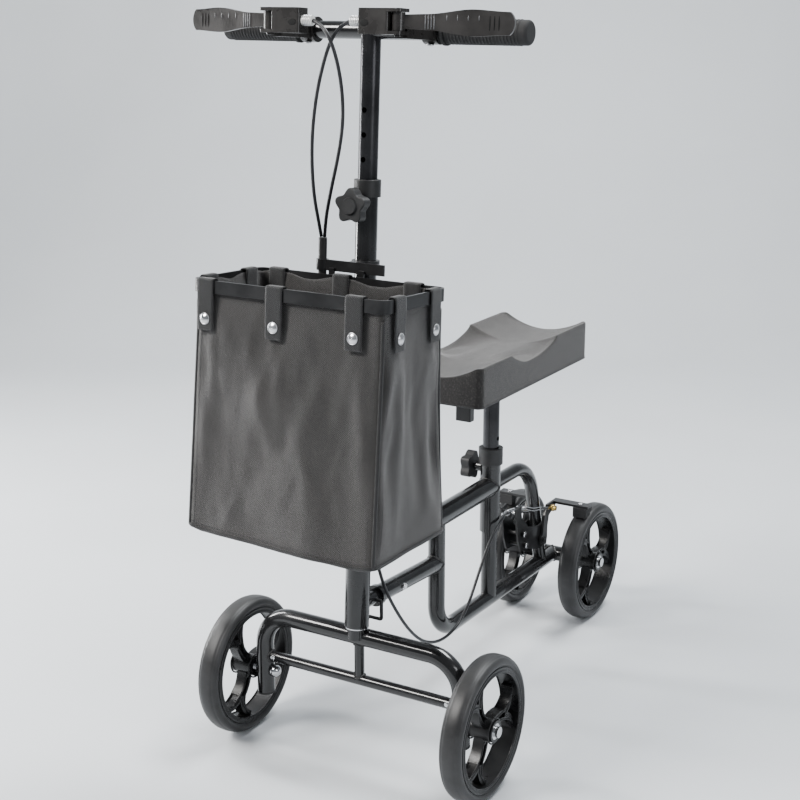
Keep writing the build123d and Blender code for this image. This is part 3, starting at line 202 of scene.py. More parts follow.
def wear_and_edge_highlight_group():
    """Where an edge has rubbed, together with a painted highlight along the edges: the rounded normal leaves the
    flat one there.
    """
    tree, given, put = new_group(
        "edge wear", [("Amount", "NodeSocketFloat", 0.5)], [("Mask", "NodeSocketFloat")])
    rounded = tree.nodes.new("ShaderNodeBevel")
    rounded.samples = 4
    rounded.inputs["Radius"].default_value = 0.0008
    plain = tree.nodes.new("ShaderNodeNewGeometry")
    dot = tree.nodes.new("ShaderNodeVectorMath")
    dot.operation = "DOT_PRODUCT"
    tree.links.new(rounded.outputs[0], dot.inputs[0])
    tree.links.new(plain.outputs["Normal"], dot.inputs[1])
    edge = ramp_node(tree, math_node(tree, "SUBTRACT", 1.0, dot.outputs["Value"]), 0.03, 0.25)
    place = tree.nodes.new("ShaderNodeTexCoord").outputs["Object"]
    rubbed_and_highlight = ramp_node(tree, noise_node(tree, place, 90.0, 5.0, 0.7), 0.45, 0.72)
    both = math_node(tree, "MULTIPLY", edge, rubbed_and_highlight)
    tree.links.new(math_node(tree, "MULTIPLY", both, given.outputs["Amount"]), put.inputs["Mask"])
    return tree


def dust_group():
    """Fine dust that settles on what faces up."""
    tree, given, put = new_group(
        "settled dust", [("Amount", "NodeSocketFloat", 0.2)], [("Mask", "NodeSocketFloat")])
    facing = tree.nodes.new("ShaderNodeNewGeometry")
    split = tree.nodes.new("ShaderNodeSeparateXYZ")
    tree.links.new(facing.outputs["Normal"], split.inputs[0])
    up = ramp_node(tree, split.outputs["Z"], -0.1, 1.0)
    place = tree.nodes.new("ShaderNodeTexCoord").outputs["Object"]
    patch = ramp_node(tree, noise_node(tree, place, 22.0, 6.0, 0.65), 0.3, 0.8)
    both = math_node(tree, "MULTIPLY_ADD", up, patch, 0.08)
    tree.links.new(math_node(tree, "MULTIPLY", both, given.outputs["Amount"]), put.inputs["Mask"])
    return tree


def weave_group():
    """A plain weave: threads across and threads up, over and under in turn."""
    tree, given, put = new_group(
        "plain weave",
        [("Threads", "NodeSocketFloat", 1300.0), ("Flat", "NodeSocketFloat", 0.0)],
        [("Height", "NodeSocketFloat"), ("Slub", "NodeSocketFloat")])
    place = tree.nodes.new("ShaderNodeTexCoord").outputs["Object"]
    split = tree.nodes.new("ShaderNodeSeparateXYZ")
    tree.links.new(place, split.inputs[0])
    turned = math_node(tree, "SUBTRACT", 1.0, given.outputs["Flat"])
    upright = math_node(tree, "MULTIPLY_ADD", split.outputs["Y"], turned, split.outputs["X"])
    flat_part = math_node(tree, "MULTIPLY", split.outputs["Y"], given.outputs["Flat"])
    along = math_node(tree, "ADD", split.outputs["Z"], flat_part)
    warp = math_node(tree, "SINE", math_node(tree, "MULTIPLY", upright, given.outputs["Threads"]))
    weft = math_node(tree, "SINE", math_node(tree, "MULTIPLY", along, given.outputs["Threads"]))
    over = math_node(tree, "MULTIPLY", warp, weft)
    ribs = math_node(tree, "MAXIMUM", math_node(tree, "ABSOLUTE", warp), math_node(tree, "ABSOLUTE", weft))
    height = math_node(tree, "MULTIPLY_ADD", over, 0.5, ribs)
    tree.links.new(height, put.inputs["Height"])
    tree.links.new(noise_node(tree, place, 260.0, 6.0, 0.75), put.inputs["Slub"])
    return tree


def make_groups():
    return {"grain": grain_group(), "wear_and_highlight": wear_and_edge_highlight_group(), "dust": dust_group(), "weave": weave_group()}


def placed(tree, group, values):
    node = tree.nodes.new("ShaderNodeGroup")
    node.node_tree = group
    for label, value in values.items():
        node.inputs[label].default_value = value
    return node


def mixed(tree, factor, first, second):
    """A colour mix; first and second are colours or sockets."""
    node = tree.nodes.new("ShaderNodeMix")
    node.data_type = "RGBA"
    tree.links.new(factor, node.inputs["Factor"])
    colour_inputs = [s for s in node.inputs if s.type == "RGBA"]
    for socket, value in zip(colour_inputs, (first, second)):
        if isinstance(value, (tuple, list)):
            socket.default_value = (*value[:3], 1.0)
        else:
            tree.links.new(value, socket)
    return next(s for s in node.outputs if s.type == "RGBA")


def make_finish(groups, name, colour, rough, metallic=0.0, coat=0.0, sheen=0.0, grain=900.0,
                bump=0.05, blotch=0.25, spread=0.12, wear_and_highlight=0.0, bare_and_highlight=(0.35, 0.35, 0.36), dust=0.15,
                threads=0.0, flat=0.0, speckle=None, fleck=(0.14, 0.14, 0.15), ior=1.5):
    """One finish: a base with blotches, grain or weave in its normal, worn edges with a painted edge highlight,
    and dust.
    """
    material = bpy.data.materials.new(name)
    material.use_nodes = True
    tree = material.node_tree
    shader = tree.nodes["Principled BSDF"]
    shader.inputs["Metallic"].default_value = metallic
    shader.inputs["Coat Weight"].default_value = coat
    shader.inputs["Coat Roughness"].default_value = 0.08
    shader.inputs["Sheen Weight"].default_value = sheen
    shader.inputs["Sheen Roughness"].default_value = 0.45
    shader.inputs["IOR"].default_value = ior
    colour = tuple(colour)
    pale = tuple(min(1.0, c * (1.0 + blotch * 1.8) + 0.004) for c in colour)
    dark = tuple(c * (1.0 - blotch) for c in colour)
    surface = placed(tree, groups["grain"], {"Scale": grain})
    tone = mixed(tree, ramp_node(tree, surface.outputs["Blotch"], 0.3, 0.7), dark, pale)
    height = surface.outputs["Height"]
    rough_low, rough_high = max(0.02, rough - spread), min(1.0, rough + spread)
    rough_map = tree.nodes.new("ShaderNodeMapRange")
    tree.links.new(surface.outputs["Blotch"], rough_map.inputs["Value"])
    rough_map.inputs["From Min"].default_value = 0.3
    rough_map.inputs["From Max"].default_value = 0.7
    rough_map.inputs["To Min"].default_value = rough_low
    rough_map.inputs["To Max"].default_value = rough_high
    roughness = rough_map.outputs["Result"]
    if threads:
        cloth = placed(tree, groups["weave"], {"Threads": threads, "Flat": flat})
        height = math_node(tree, "MULTIPLY_ADD", cloth.outputs["Height"], 1.4, height)
        thread_tone = tuple(min(1.0, c * 2.1 + 0.008) for c in colour)
        lit = ramp_node(tree, cloth.outputs["Slub"], 0.42, 0.78)
        tone = mixed(tree, math_node(tree, "MULTIPLY", lit, 0.55), tone, thread_tone)
    if speckle:
        place = tree.nodes.new("ShaderNodeTexCoord").outputs["Object"]
        flecks = ramp_node(tree, noise_node(tree, place, speckle, 2.0, 0.8), 0.52, 0.66)
        tone = mixed(tree, math_node(tree, "MULTIPLY", flecks, 0.5), tone, fleck)
    # Edges take the edge tone: partly real wear, partly a painted highlight along the edges.
    if wear_and_highlight:
        rubbed_and_highlight = placed(tree, groups["wear_and_highlight"], {"Amount": wear_and_highlight}).outputs["Mask"]
        tone = mixed(tree, rubbed_and_highlight, tone, bare_and_highlight)
        roughness = math_node(tree, "MULTIPLY_ADD", rubbed_and_highlight, 0.15, roughness)
    if dust:
        settled = placed(tree, groups["dust"], {"Amount": dust}).outputs["Mask"]
        tone = mixed(tree, settled, tone, (0.30, 0.29, 0.27))
        roughness = math_node(tree, "MULTIPLY_ADD", settled, 0.5, roughness)
    tree.links.new(tone, shader.inputs["Base Color"])
    tree.links.new(roughness, shader.inputs["Roughness"])
    relief = tree.nodes.new("ShaderNodeBump")
    relief.inputs["Strength"].default_value = bump
    relief.inputs["Distance"].default_value = 0.0006
    tree.links.new(height, relief.inputs["Height"])
    tree.links.new(relief.outputs["Normal"], shader.inputs["Normal"])
    return material


FINISH = {}


def make_finishes():
    groups = make_groups()
    tint = colours()
    steel = (0.55, 0.55, 0.56)
    table = {
        "black_frame_paint": dict(colour=tint.paint, rough=0.24, coat=0.7, grain=240.0, bump=0.07,
                                  spread=0.06, wear_and_highlight=0.20, dust=0.03),
        "black_steel_fittings": dict(colour=(0.016, 0.016, 0.017), rough=0.40, coat=0.2, grain=700.0,
                                     bump=0.16, wear_and_highlight=0.25, dust=0.05),
        "dark_inner_tube": dict(colour=(0.045, 0.045, 0.048), rough=0.22, metallic=0.75, grain=420.0,
                                bump=0.05, spread=0.07, wear_and_highlight=0.25, dust=0.03),
        "tyre_rubber": dict(colour=tint.tyre, rough=0.40, grain=1300.0, bump=0.16, dust=0.05),
        "rim_plastic": dict(colour=(0.014, 0.014, 0.015), rough=0.30, grain=1500.0, bump=0.18,
                            wear_and_highlight=0.3, bare_and_highlight=(0.10, 0.10, 0.10), dust=0.06),
        "bright_steel": dict(colour=(0.62, 0.62, 0.63), rough=0.20, metallic=1.0, grain=1600.0,
                             bump=0.06, blotch=0.12, wear_and_highlight=0.0, dust=0.06),
        "black_plastic": dict(colour=(0.028, 0.028, 0.029), rough=0.42, grain=1700.0, bump=0.30,
                              wear_and_highlight=0.35, bare_and_highlight=(0.13, 0.13, 0.13), dust=0.06),
        "lever_plastic": dict(colour=(0.030, 0.028, 0.027), rough=0.30, coat=0.25, grain=1500.0,
                              bump=0.14, wear_and_highlight=0.35, bare_and_highlight=(0.16, 0.155, 0.15), dust=0.04),
        "grip_rubber": dict(colour=(0.026, 0.026, 0.027), rough=0.72, grain=1900.0, bump=0.55,
                            dust=0.16),
        "white_plastic": dict(colour=(0.78, 0.78, 0.76), rough=0.30, coat=0.3, grain=900.0, bump=0.06,
                              blotch=0.06, wear_and_highlight=0.2, bare_and_highlight=(0.5, 0.5, 0.5), dust=0.08),
        "cable_sheath": dict(colour=(0.014, 0.014, 0.017), rough=0.34, coat=0.15, grain=800.0,
                             bump=0.10, dust=0.08),
        "bag_fabric": dict(colour=tint.bag, rough=0.72, sheen=0.45, grain=620.0, bump=0.85, blotch=0.20,
                           threads=2600.0, speckle=420.0, fleck=(0.066, 0.061, 0.058), dust=0.04),
        "bag_base": dict(colour=tint.bag, rough=0.74, sheen=0.3, grain=620.0, bump=0.7, blotch=0.18,
                         threads=2600.0, flat=1.0, dust=0.05),
        "strap_webbing": dict(colour=(0.018, 0.018, 0.019), rough=0.70, sheen=0.3, grain=600.0,
                              bump=0.75, threads=2600.0, dust=0.06),
        "pad_cover": dict(colour=tint.cushion, rough=0.80, sheen=0.35, grain=800.0, bump=1.0,
                          blotch=0.22, speckle=330.0, fleck=(0.105, 0.099, 0.095), dust=0.04),
        "base_board": dict(colour=(0.015, 0.015, 0.015), rough=0.55, grain=900.0, bump=0.3, dust=0.1),
        "thread": dict(colour=(0.05, 0.05, 0.052), rough=0.7, sheen=0.2, grain=2500.0, bump=0.4, dust=0.0),
        "weld_paint": dict(colour=tuple(1.3 * c for c in tint.paint), rough=0.34, coat=0.5, grain=700.0,
                           bump=0.35, wear_and_highlight=0.0, dust=0.12),
        "worn_alloy": dict(colour=steel, rough=0.34, metallic=0.9, grain=1200.0, bump=0.12,
                           blotch=0.15, wear_and_highlight=0.2, bare_and_highlight=(0.8, 0.8, 0.8), dust=0.08),
        # lever_light paints the highlight on the lever's ridges in a pale grey.
        "lever_light": dict(colour=(0.16, 0.16, 0.165), rough=0.26, coat=0.35, metallic=0.3, grain=1300.0,
                            bump=0.08, wear_and_highlight=0.2, dust=0.06),
        # slot_dark is near black: painted shade for slots and mouths, carried by pieces that stand on the surface.
        "slot_dark": dict(colour=(0.006, 0.006, 0.006), rough=0.8, grain=900.0, bump=0.2, dust=0.0),
        "brass": dict(colour=(0.55, 0.40, 0.16), rough=0.30, metallic=1.0, grain=1300.0, bump=0.1,
                      blotch=0.15, dust=0.08),
    }
    for name, values in table.items():
        FINISH[name] = make_finish(groups, name, **values)


# ---------------------------------------------------------------- mesh helpers


def add_mesh(name, points, faces, finish, smooth=True):
    mesh = bpy.data.meshes.new(name)
    mesh.from_pydata([tuple(p) for p in points], [], faces)
    mesh.validate()
    mesh.update()
    if smooth:
        mesh.polygons.foreach_set("use_smooth", [True] * len(mesh.polygons))
    piece = bpy.data.objects.new(name, mesh)
    bpy.context.scene.collection.objects.link(piece)
    piece.data.materials.append(FINISH[finish])
    return piece


def bridged(base, ring, count, flip=False):
    """Quads between rings of points that follow one another from the base index."""
    faces = []
    for i in range(count):
        for k in range(ring):
            m = (k + 1) % ring
            low, high = base + i * ring, base + (i + 1) * ring
            quad = (low + k, low + m, high + m, high + k)
            faces.append(tuple(reversed(quad)) if flip else quad)
    return faces


def fitted(name, shape, finish, body, node=None):
    """A mesh piece with its material slot and body, in place of a CAD node if one is named."""
    piece = add_mesh(name, *shape, finish)
    if node:
        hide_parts(node)
    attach(piece, body)
    return piece


def joined(parts):
    """One list of points and one of faces from several."""
    points, faces = [], []
    for more_points, more_faces in parts:
        base = len(points)
        points.extend(more_points)
        faces.extend([tuple(i + base for i in face) for face in more_faces])
    return points, faces


def tube(line, radius, sides=12, closed=False):
    """A round tube along a line; radius is one number or one for each point."""
    count = len(line)
    radii = radius if isinstance(radius, (list, tuple)) else [radius] * count
    line = [Vector(p) for p in line]
    tangents = []
    for i in range(count):
        if closed:
            ahead, behind = line[(i + 1) % count], line[i - 1]
        else:
            ahead, behind = line[min(i + 1, count - 1)], line[max(i - 1, 0)]
        tangents.append((ahead - behind).normalized())
    side = tangents[0].orthogonal().normalized()
    points, faces = [], []
    for i in range(count):
        side = (side - tangents[i] * side.dot(tangents[i])).normalized()
        other = tangents[i].cross(side)
        for k in range(sides):
            turn = 2 * math.pi * k / sides
            points.append(line[i] + (side * math.cos(turn) + other * math.sin(turn)) * radii[i])
    rings = count if closed else count - 1
    for i in range(rings):
        j = (i + 1) % count
        for k in range(sides):
            m = (k + 1) % sides
            faces.append((i * sides + k, i * sides + m, j * sides + m, j * sides + k))
    if not closed:
        faces.append(tuple(reversed(range(sides))))
        faces.append(tuple((count - 1) * sides + k for k in range(sides)))
    return points, faces


def turned(profile, origin, axis, steps=48, closed=True):
    """A profile of (along, radius) turned round an axis through origin."""
    axis = Vector(axis).normalized()
    side = axis.orthogonal().normalized()
    other = axis.cross(side)
    count = len(profile)
    points, faces = [], []
    for s in range(steps):
        turn = 2 * math.pi * s / steps
        out = side * math.cos(turn) + other * math.sin(turn)
        for along, radius in profile:
            points.append(Vector(origin) + axis * along + out * radius)
    spans = count if closed else count - 1
    for s in range(steps):
        n = (s + 1) % steps
        for k in range(spans):
            m = (k + 1) % count
            faces.append((s * count + k, s * count + m, n * count + m, n * count + k))
    if not closed:
        faces.append(tuple(s * count for s in range(steps)))
        faces.append(tuple(s * count + count - 1 for s in reversed(range(steps))))
    return points, faces


def button(origin, axis, radius, rise, steps=24):
    """A domed screw or rivet head that rises along its axis, with a rounded rim."""
    profile = [(0.0, radius), (rise * 0.45, radius)]
    for k in range(1, 6):
        turn = math.pi / 2 * k / 6
        profile.append((rise * (0.45 + 0.55 * math.sin(turn)), radius * math.cos(turn)))
    profile.append((rise, radius * 0.05))
    return turned(profile, origin, axis, steps, closed=False)


def oval(centre, across, up, out, half_across, half_up, rise, steps=32):
    """A thin rounded oval that stands on a face."""
    points, faces = [], []
    for share, height in ((1.0, 0.0), (0.94, rise * 0.7), (0.8, rise)):
        for k in range(steps):
            turn = 2 * math.pi * k / steps
            points.append(centre + across * (half_across * share * math.cos(turn))
                          + up * (half_up * share * math.sin(turn)) + out * height)
    faces += bridged(0, steps, 2)
    faces.append(tuple(reversed(range(steps))))
    faces.append(tuple(2 * steps + k for k in range(steps)))
    return points, faces


def ease(value, low, high):
    t = max(0.0, min(1.0, (value - low) / (high - low)))
    return t * t * (3 - 2 * t)


# ---------------------------------------------------------------- cables

CABLE_RUNS = {
    "upper_left_cord": dict(
        length=0.302, node="upper_cables", bodies=("column", "handlebar"),
        low=(-46, -27, 737), high=(-30, -90, 990),
        route=[on_column(*p) for p in (
            (-27.1, -90, 1005), (-13, -93, 1000), (1, -95, 984), (9, -90, 957), (11, -81, 922),
            (6, -70, 884), (-8, -57, 845), (-24, -46, 806), (-35, -38, 778), (-43, -31, 755),
            (-46.4, -27, 736.9))]),
    "upper_right_cord": dict(
        length=0.300, node="upper_cables", bodies=("column", "handlebar"),
        low=(-51, -27, 737), high=(27, -90, 990),
        route=[on_column(*p) for p in (
            (27.1, -90, 1005), (13, -88, 1001), (-4, -85, 984), (-18, -80, 956), (-32, -73, 918),
            (-44, -63, 875), (-51, -53, 832), (-54, -42, 789), (-53, -32, 757),
            (-51.6, -27, 736.9))]),
    "fold_cord": dict(
        length=0.335, node="fold_cable", bodies=("steering", "column"),
        low=(0, 0, 470), high=(0, 0, 630),
        route=[on_column(*p) for p in (
            (-49, -27, 687.75), (-49, -28, 662), (-44, -27, 625), (-39, -26, 585), (-36, -27, 545),
            (-30, -28, 508), (-15, -29, 475), (5, -27, 449), (18, -18, 422), (22, -5, 399),
            (20.5, 3, 371.9))]),
    "rear_cord": dict(
        length=0.638, node="rear_cable", bodies=("frame", "steering"),
        low=(0, 0, 215), high=(0, 0, 355),
        route=[on_column(20.5, 3, 360.75)] + [behind_axle(*p) for p in (
            (20.8, 5, 335), (21.5, 12, 298), (22.5, 28, 256), (23.5, 56, 212), (24.5, 91, 168),
            (25.5, 128, 135), (26, 168, 117), (26, 206, 113), (25.5, 241, 120), (25, 272, 139),
            (24, 298, 168), (23.5, 324, 199), (23, 352, 225), (22, 385, 239), (16, 408, 241),
            (6.5, 429, 234), (0, 447.1, 228.1))]),
}


def spline_points(name, route):
    """The points of the smooth spline that has the route as its control points."""
    curve = bpy.data.curves.new(name + "_route", "CURVE")
    curve.dimensions = "3D"
    curve.resolution_u = 10
    spline = curve.splines.new("NURBS")
    spline.points.add(len(route) - 1)
    for control, place in zip(spline.points, route):
        control.co = (*place, 1)
    spline.order_u = 3
    spline.use_endpoint_u = True
    holder = bpy.data.objects.new(name + "_route", curve)
    bpy.context.scene.collection.objects.link(holder)
    bpy.context.view_layer.update()
    mesh = bpy.data.meshes.new_from_object(holder)
    line = [v.co.copy() for v in mesh.vertices]
    bpy.data.objects.remove(holder)
    bpy.data.meshes.remove(mesh)
    return line


class SCOOTER_OT_cables(bpy.types.Operator):
    """Lay the brake cables on their routes"""
    bl_idname = "scooter.cables"
    bl_label = "Brake Cables"

    def execute(self, context):
        diameter = sizes().cable_d
        for name, run in CABLE_RUNS.items():
            line = spline_points(name, run["route"])
            cord = add_mesh(name, *tube(line, diameter / 2, 14), "cable_sheath")
            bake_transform(cord)
            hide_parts(run["node"])
        return {"FINISHED"}


# ---------------------------------------------------------------- finishes


class SCOOTER_OT_finishes(bpy.types.Operator):
    """Make every finish and give each carried-over part its own"""
    bl_idname = "scooter.finishes"
    bl_label = "Finishes"

    def execute(self, context):
        make_finishes()
        for name, node in NODES.items():
            node.data.materials.clear()
            node.data.materials.append(FINISH[SLOT_OF[name]])
        return {"FINISHED"}


# ---------------------------------------------------------------- tyres


TYRE_OUTER, TYRE_INNER, TYRE_HALF = 0.100, 0.0861, 0.016


def tyre_profile(groove):
    """A tyre's section: bead, sidewall step, round crown and two shallow grooves, in metres."""
    outer, inner, half = TYRE_OUTER, TYRE_INNER, TYRE_HALF
    half_section = [
        (half - 0.0016, inner), (half - 0.0010, inner + 0.0010), (half - 0.0012, inner + 0.0021),
        (half - 0.0004, inner + 0.0026), (half, inner + 0.0036),
    ]
    shoulder = inner + 0.0036
    for k in range(1, 17):
        turn = math.pi / 2 * k / 17
        half_section.append((half * math.cos(turn) ** 0.8,
                             shoulder + (outer - shoulder) * math.sin(turn) ** 0.85))
    dipped = []
    for x, r in half_section:
        dipped.append((x, r - groove if 0.0088 < x < 0.0112 else r))
    return dipped + [(0.0, outer)] + [(-x, r) for x, r in reversed(dipped)]


def lip_profile(side):
    """The moulded lip that stands on the rim's face beside the tyre."""
    return [(side * x, r) for x, r in (
        (0.0138, 0.0782), (0.0149, 0.0786), (0.0153, 0.0793), (0.0150, 0.0801), (0.0143, 0.0806),
        (0.0143, 0.0834), (0.0150, 0.0839), (0.0151, 0.0851), (0.0138, 0.0856))]


SPOKE_ROUTES = (
    ((16.5, 4.6), (30, 7.4), (43, 6.4), (56, 11), (67, 22), (71, 33)),
    ((16.5, -4.6), (30, -0.6), (43, -4.2), (56, -9.5), (68, -19), (73.5, -27)),
    ((47, 0.4), (54, 3.4), (62, 12), (68.5, 29)),
    ((47, -0.4), (54, -3.0), (62, -10), (71.5, -22)),
)


def spoke_ribs(centre):
    """Fine raised ribs along the edges of the forked spokes, on both faces."""
    centre, parts = Vector(centre), []
    for index, route in enumerate(SPOKE_ROUTES):
        flat = spline_points("rib_%d" % index, [Vector((a * MM, b * MM, 0)) for a, b in route])
        for turn in range(3):
            angle = 2 * math.pi * turn / 3
            for side in (1, -1):
                line = [centre + Vector((side * 0.0074, p.x * math.cos(angle) - p.y * math.sin(angle),
                                         p.x * math.sin(angle) + p.y * math.cos(angle))) for p in flat]
                parts.append(tube(line, 0.0013, 8))
    for side in (1, -1):
        for radius, out in ((0.0172, 0.0158), (0.0780, 0.0139)):
            ring = [centre + Vector((side * out, radius * math.cos(2 * math.pi * k / 72),
                                     radius * math.sin(2 * math.pi * k / 72))) for k in range(72)]
            parts.append(tube(ring, 0.0012, 8, closed=True))
    return joined(parts)


class SCOOTER_OT_tyres(bpy.types.Operator):
    """Turn the four tyres with their sidewall steps and tread grooves"""
    bl_idname = "scooter.tyres"
    bl_label = "Tyres"

    def execute(self, context):
        profile = tyre_profile(sizes().groove)
        for place in ("front_left", "front_right", "rear_left", "rear_right"):
            centre = JOINTS[place + "_wheel_spin"]["pos_m"]
            fitted(place + "_tread", turned(profile, centre, (1, 0, 0), 160),
                   "tyre_rubber", place + "_wheel", node=place + "_tyre")
            lips = joined([turned(lip_profile(side), centre, (1, 0, 0), 120) for side in (1, -1)])
            fitted(place + "_rim_lips", lips, "rim_plastic", place + "_wheel")
            fitted(place + "_rim_ribs", spoke_ribs(centre),
                   "rim_plastic", place + "_wheel")
        return {"FINISHED"}


# ---------------------------------------------------------------- cushion

PAD_HALF = 0.0768
PAD_LENGTH = 0.366
PAD_MIDDLE = FRONT_AXLE_Y + 0.387
PAD_LOW = 0.4712
PAD_TOP = 0.5303
PAD_CORNER = 0.010
SCOOP_FROM, SCOOP_LOW, SCOOP_TO = 0.265, 0.44, 0.687


def scoop_at(along):
    """Share of the scoop's depth along the cushion, with a crease at each end."""
    if along <= SCOOP_FROM or along >= SCOOP_TO:
        return 0.0
    if along < SCOOP_LOW:
        return math.sin(math.pi / 2 * (along - SCOOP_FROM) / (SCOOP_LOW - SCOOP_FROM)) ** 0.9
    return math.cos(math.pi / 2 * (along - SCOOP_LOW) / (SCOOP_TO - SCOOP_LOW)) ** 0.62


def pad_surface(across, along):
    """Height of the cushion's top at -1..1 across and 0..1 from front to rear."""
    trough = sizes().trough * (1 - abs(across) ** 1.9)
    share = scoop_at(along) * ease(abs(across), 0.18, 0.95)
    floor = PAD_TOP - sizes().trough * 1.02
    high = PAD_TOP - trough
    scooped = high - sizes().scoop * share
    soft = 0.00025 * noise.noise(Vector((across * 5, along * 12, 3.0)))
    return max(scooped, floor - 0.002) + soft


def cushion_stations():
    marks = {0.0, 1.0, SCOOP_FROM, SCOOP_TO}
    for k in range(9):
        near = PAD_CORNER / PAD_LENGTH * (1 - math.cos(math.pi / 2 * k / 8))
        marks |= {near, 1 - near}
    marks |= {k / 72 for k in range(3, 70)}
    return sorted(marks)


def cushion_shape():
    """A closed loft from front to rear: flat under, upright sides, crisp edges, shaped top."""
    top_steps, side_steps, under_steps, edge = 44, 7, 10, 0.0022
    points, faces, around = [], [], 0
    stations = cushion_stations()
    for along in stations:
        y = PAD_MIDDLE + PAD_LENGTH * (along - 0.5)
        from_end = min(along, 1 - along) * PAD_LENGTH
        gap = PAD_CORNER - min(PAD_CORNER, from_end)
        half = PAD_HALF - PAD_CORNER + math.sqrt(PAD_CORNER ** 2 - gap ** 2)
        half = max(half, PAD_HALF - PAD_CORNER * 0.98)
        drop = edge - math.sqrt(edge ** 2 - (edge - min(edge, from_end)) ** 2)
        rim = pad_surface(1.0, along) - drop
        section = []
        for k in range(side_steps + 1):
            section.append((half, PAD_LOW + (rim - edge - PAD_LOW) * k / side_steps))
        for k in range(1, 5):
            turn = math.pi / 2 * k / 5
            section.append((half - edge + edge * math.cos(turn), rim - edge + edge * math.sin(turn)))
        inner = half - edge
        for k in range(top_steps + 1):
            x = inner * (1 - 2 * k / top_steps)
            section.append((x, pad_surface(x / inner, along) - drop))
        for k in range(4, 0, -1):
            turn = math.pi / 2 * k / 5
            section.append((-half + edge - edge * math.cos(turn), rim - edge + edge * math.sin(turn)))
        for k in range(side_steps, -1, -1):
            section.append((-half, PAD_LOW + (rim - edge - PAD_LOW) * k / side_steps))
        for k in range(1, under_steps):
            section.append((-half + 2 * half * k / under_steps, PAD_LOW))
        around = len(section)
        points += [Vector((x, y, z)) for x, z in section]
    for i in range(len(stations) - 1):
        for k in range(around):
            m = (k + 1) % around
            faces.append((i * around + k, (i + 1) * around + k, (i + 1) * around + m, i * around + m))
    faces.append(tuple(range(around)))
    faces.append(tuple((len(stations) - 1) * around + k for k in reversed(range(around))))
    return points, faces


class SCOOTER_OT_cushion(bpy.types.Operator):
    """Make the contoured knee cushion with its crisp edges and the welt round its foot"""
    bl_idname = "scooter.cushion"
    bl_label = "Knee Cushion"

    def execute(self, context):
        cushion = add_mesh("knee_cushion", *cushion_shape(), "pad_cover")
        cushion.data.set_sharp_from_angle(angle=math.radians(48))
        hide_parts("seat_pad")
        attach(cushion, "seat")
        fine = []
        half_x, half_y = PAD_HALF - 0.0004, PAD_LENGTH / 2 - 0.0004
        for cx, cy, first in ((1, 1, 0), (-1, 1, 1), (-1, -1, 2), (1, -1, 3)):
            for k in range(13):
                turn = math.pi / 2 * (first + k / 12)
                fine.append(Vector((
                    cx * (half_x - PAD_CORNER) + PAD_CORNER * math.cos(turn),
                    PAD_MIDDLE + cy * (half_y - PAD_CORNER) + PAD_CORNER * math.sin(turn),
                    PAD_LOW + 0.0014)))
        fitted("cushion_welt", tube(fine, 0.0014, 10, closed=True), "strap_webbing", "seat")
        return {"FINISHED"}


# ---------------------------------------------------------------- bag

BAG_LOW = 362.0
BAG_HIGH = 688.0
BAG_HALF_X = 137.6
BAG_HALF_Y = 70.1
BAG_MID = -108.0
BAG_CORNER = 10.0
FRONT_STRAPS = (-118, -15, 99)
BACK_STRAPS = (-110, -11, 95)
SIDE_STRAPS = (-150, -66)
SNAP_H = 642.0
FLARE_FROM = 626.0
BAG_FLARE = 10.0
BACK_SAG = 11.0
BACK_RISE = 11.0
BAG_SWING = 13.0
BAG_DRIFT = 7.0


def bag_outline(step, count, inset=0.0):
    """Place and outward direction at a step round the bag's rounded rectangle, in mm."""
    hx, hy, r = BAG_HALF_X - inset, BAG_HALF_Y - inset, max(2.0, BAG_CORNER - inset)
    straight_x, straight_y, arc = 2 * (hx - r), 2 * (hy - r), math.pi * r / 2
    spans = [straight_x, arc, straight_y, arc, straight_x, arc, straight_y, arc]
    at = (step % count) / count * sum(spans)
    heading = 0
    starts = [(-hx + r, -hy), None, (hx, -hy + r), None, (hx - r, hy), None, (-hx, hy - r), None]
    runs = [(1, 0), None, (0, 1), None, (-1, 0), None, (0, -1), None]
    faces_out = [(0, -1), None, (1, 0), None, (0, 1), None, (-1, 0), None]
    centres = {1: (hx - r, -hy + r, -90), 3: (hx - r, hy - r, 0),
               5: (-hx + r, hy - r, 90), 7: (-hx + r, -hy + r, 180)}
    for heading, span in enumerate(spans):
        if at <= span:
            break
        at -= span
    if heading in centres:
        cx, cy, first = centres[heading]
        turn = math.radians(first + 90 * at / arc)
        out = (math.cos(turn), math.sin(turn))
        return cx + r * out[0], cy + r * out[1], out
    x, y = starts[heading]
    return x + runs[heading][0] * at, y + runs[heading][1] * at, faces_out[heading]


FRONT_FOLDS = (
    (-50, 615, -4, 470, 17, 4.6), (-4, 470, -44, 385, 19, 3.2), (64, 605, 4, 452, 15, 3.8),
    (104, 570, 62, 400, 21, -4.2), (-104, 600, -72, 430, 20, -3.4), (28, 520, 56, 392, 16, 2.4),
    (-122, 560, -118, 395, 11, 2.2), (20, 596, 28, 560, 16, -3.0), (118, 520, 124, 390, 10, 2.0),
)
SIDE_FOLDS = (
    (-24, 610, -32, 400, 9, 3.4), (6, 600, 16, 420, 11, -3.8), (38, 580, 26, 400, 8, 3.0),
    (52, 560, 50, 420, 7, -2.2),
)


def fold(along, h, run):
    """Height in mm of one drawn crease at a place on a face."""
    first, top, last, low, width, height = run
    across, fall = last - first, low - top
    share = ((along - first) * across + (h - top) * fall) / (across ** 2 + fall ** 2)
    share = max(0.0, min(1.0, share))
    away = math.hypot(along - first - across * share, h - top - fall * share)
    return height * math.exp(-((away / width) ** 2)) * (0.3 + 0.7 * math.sin(math.pi * share))


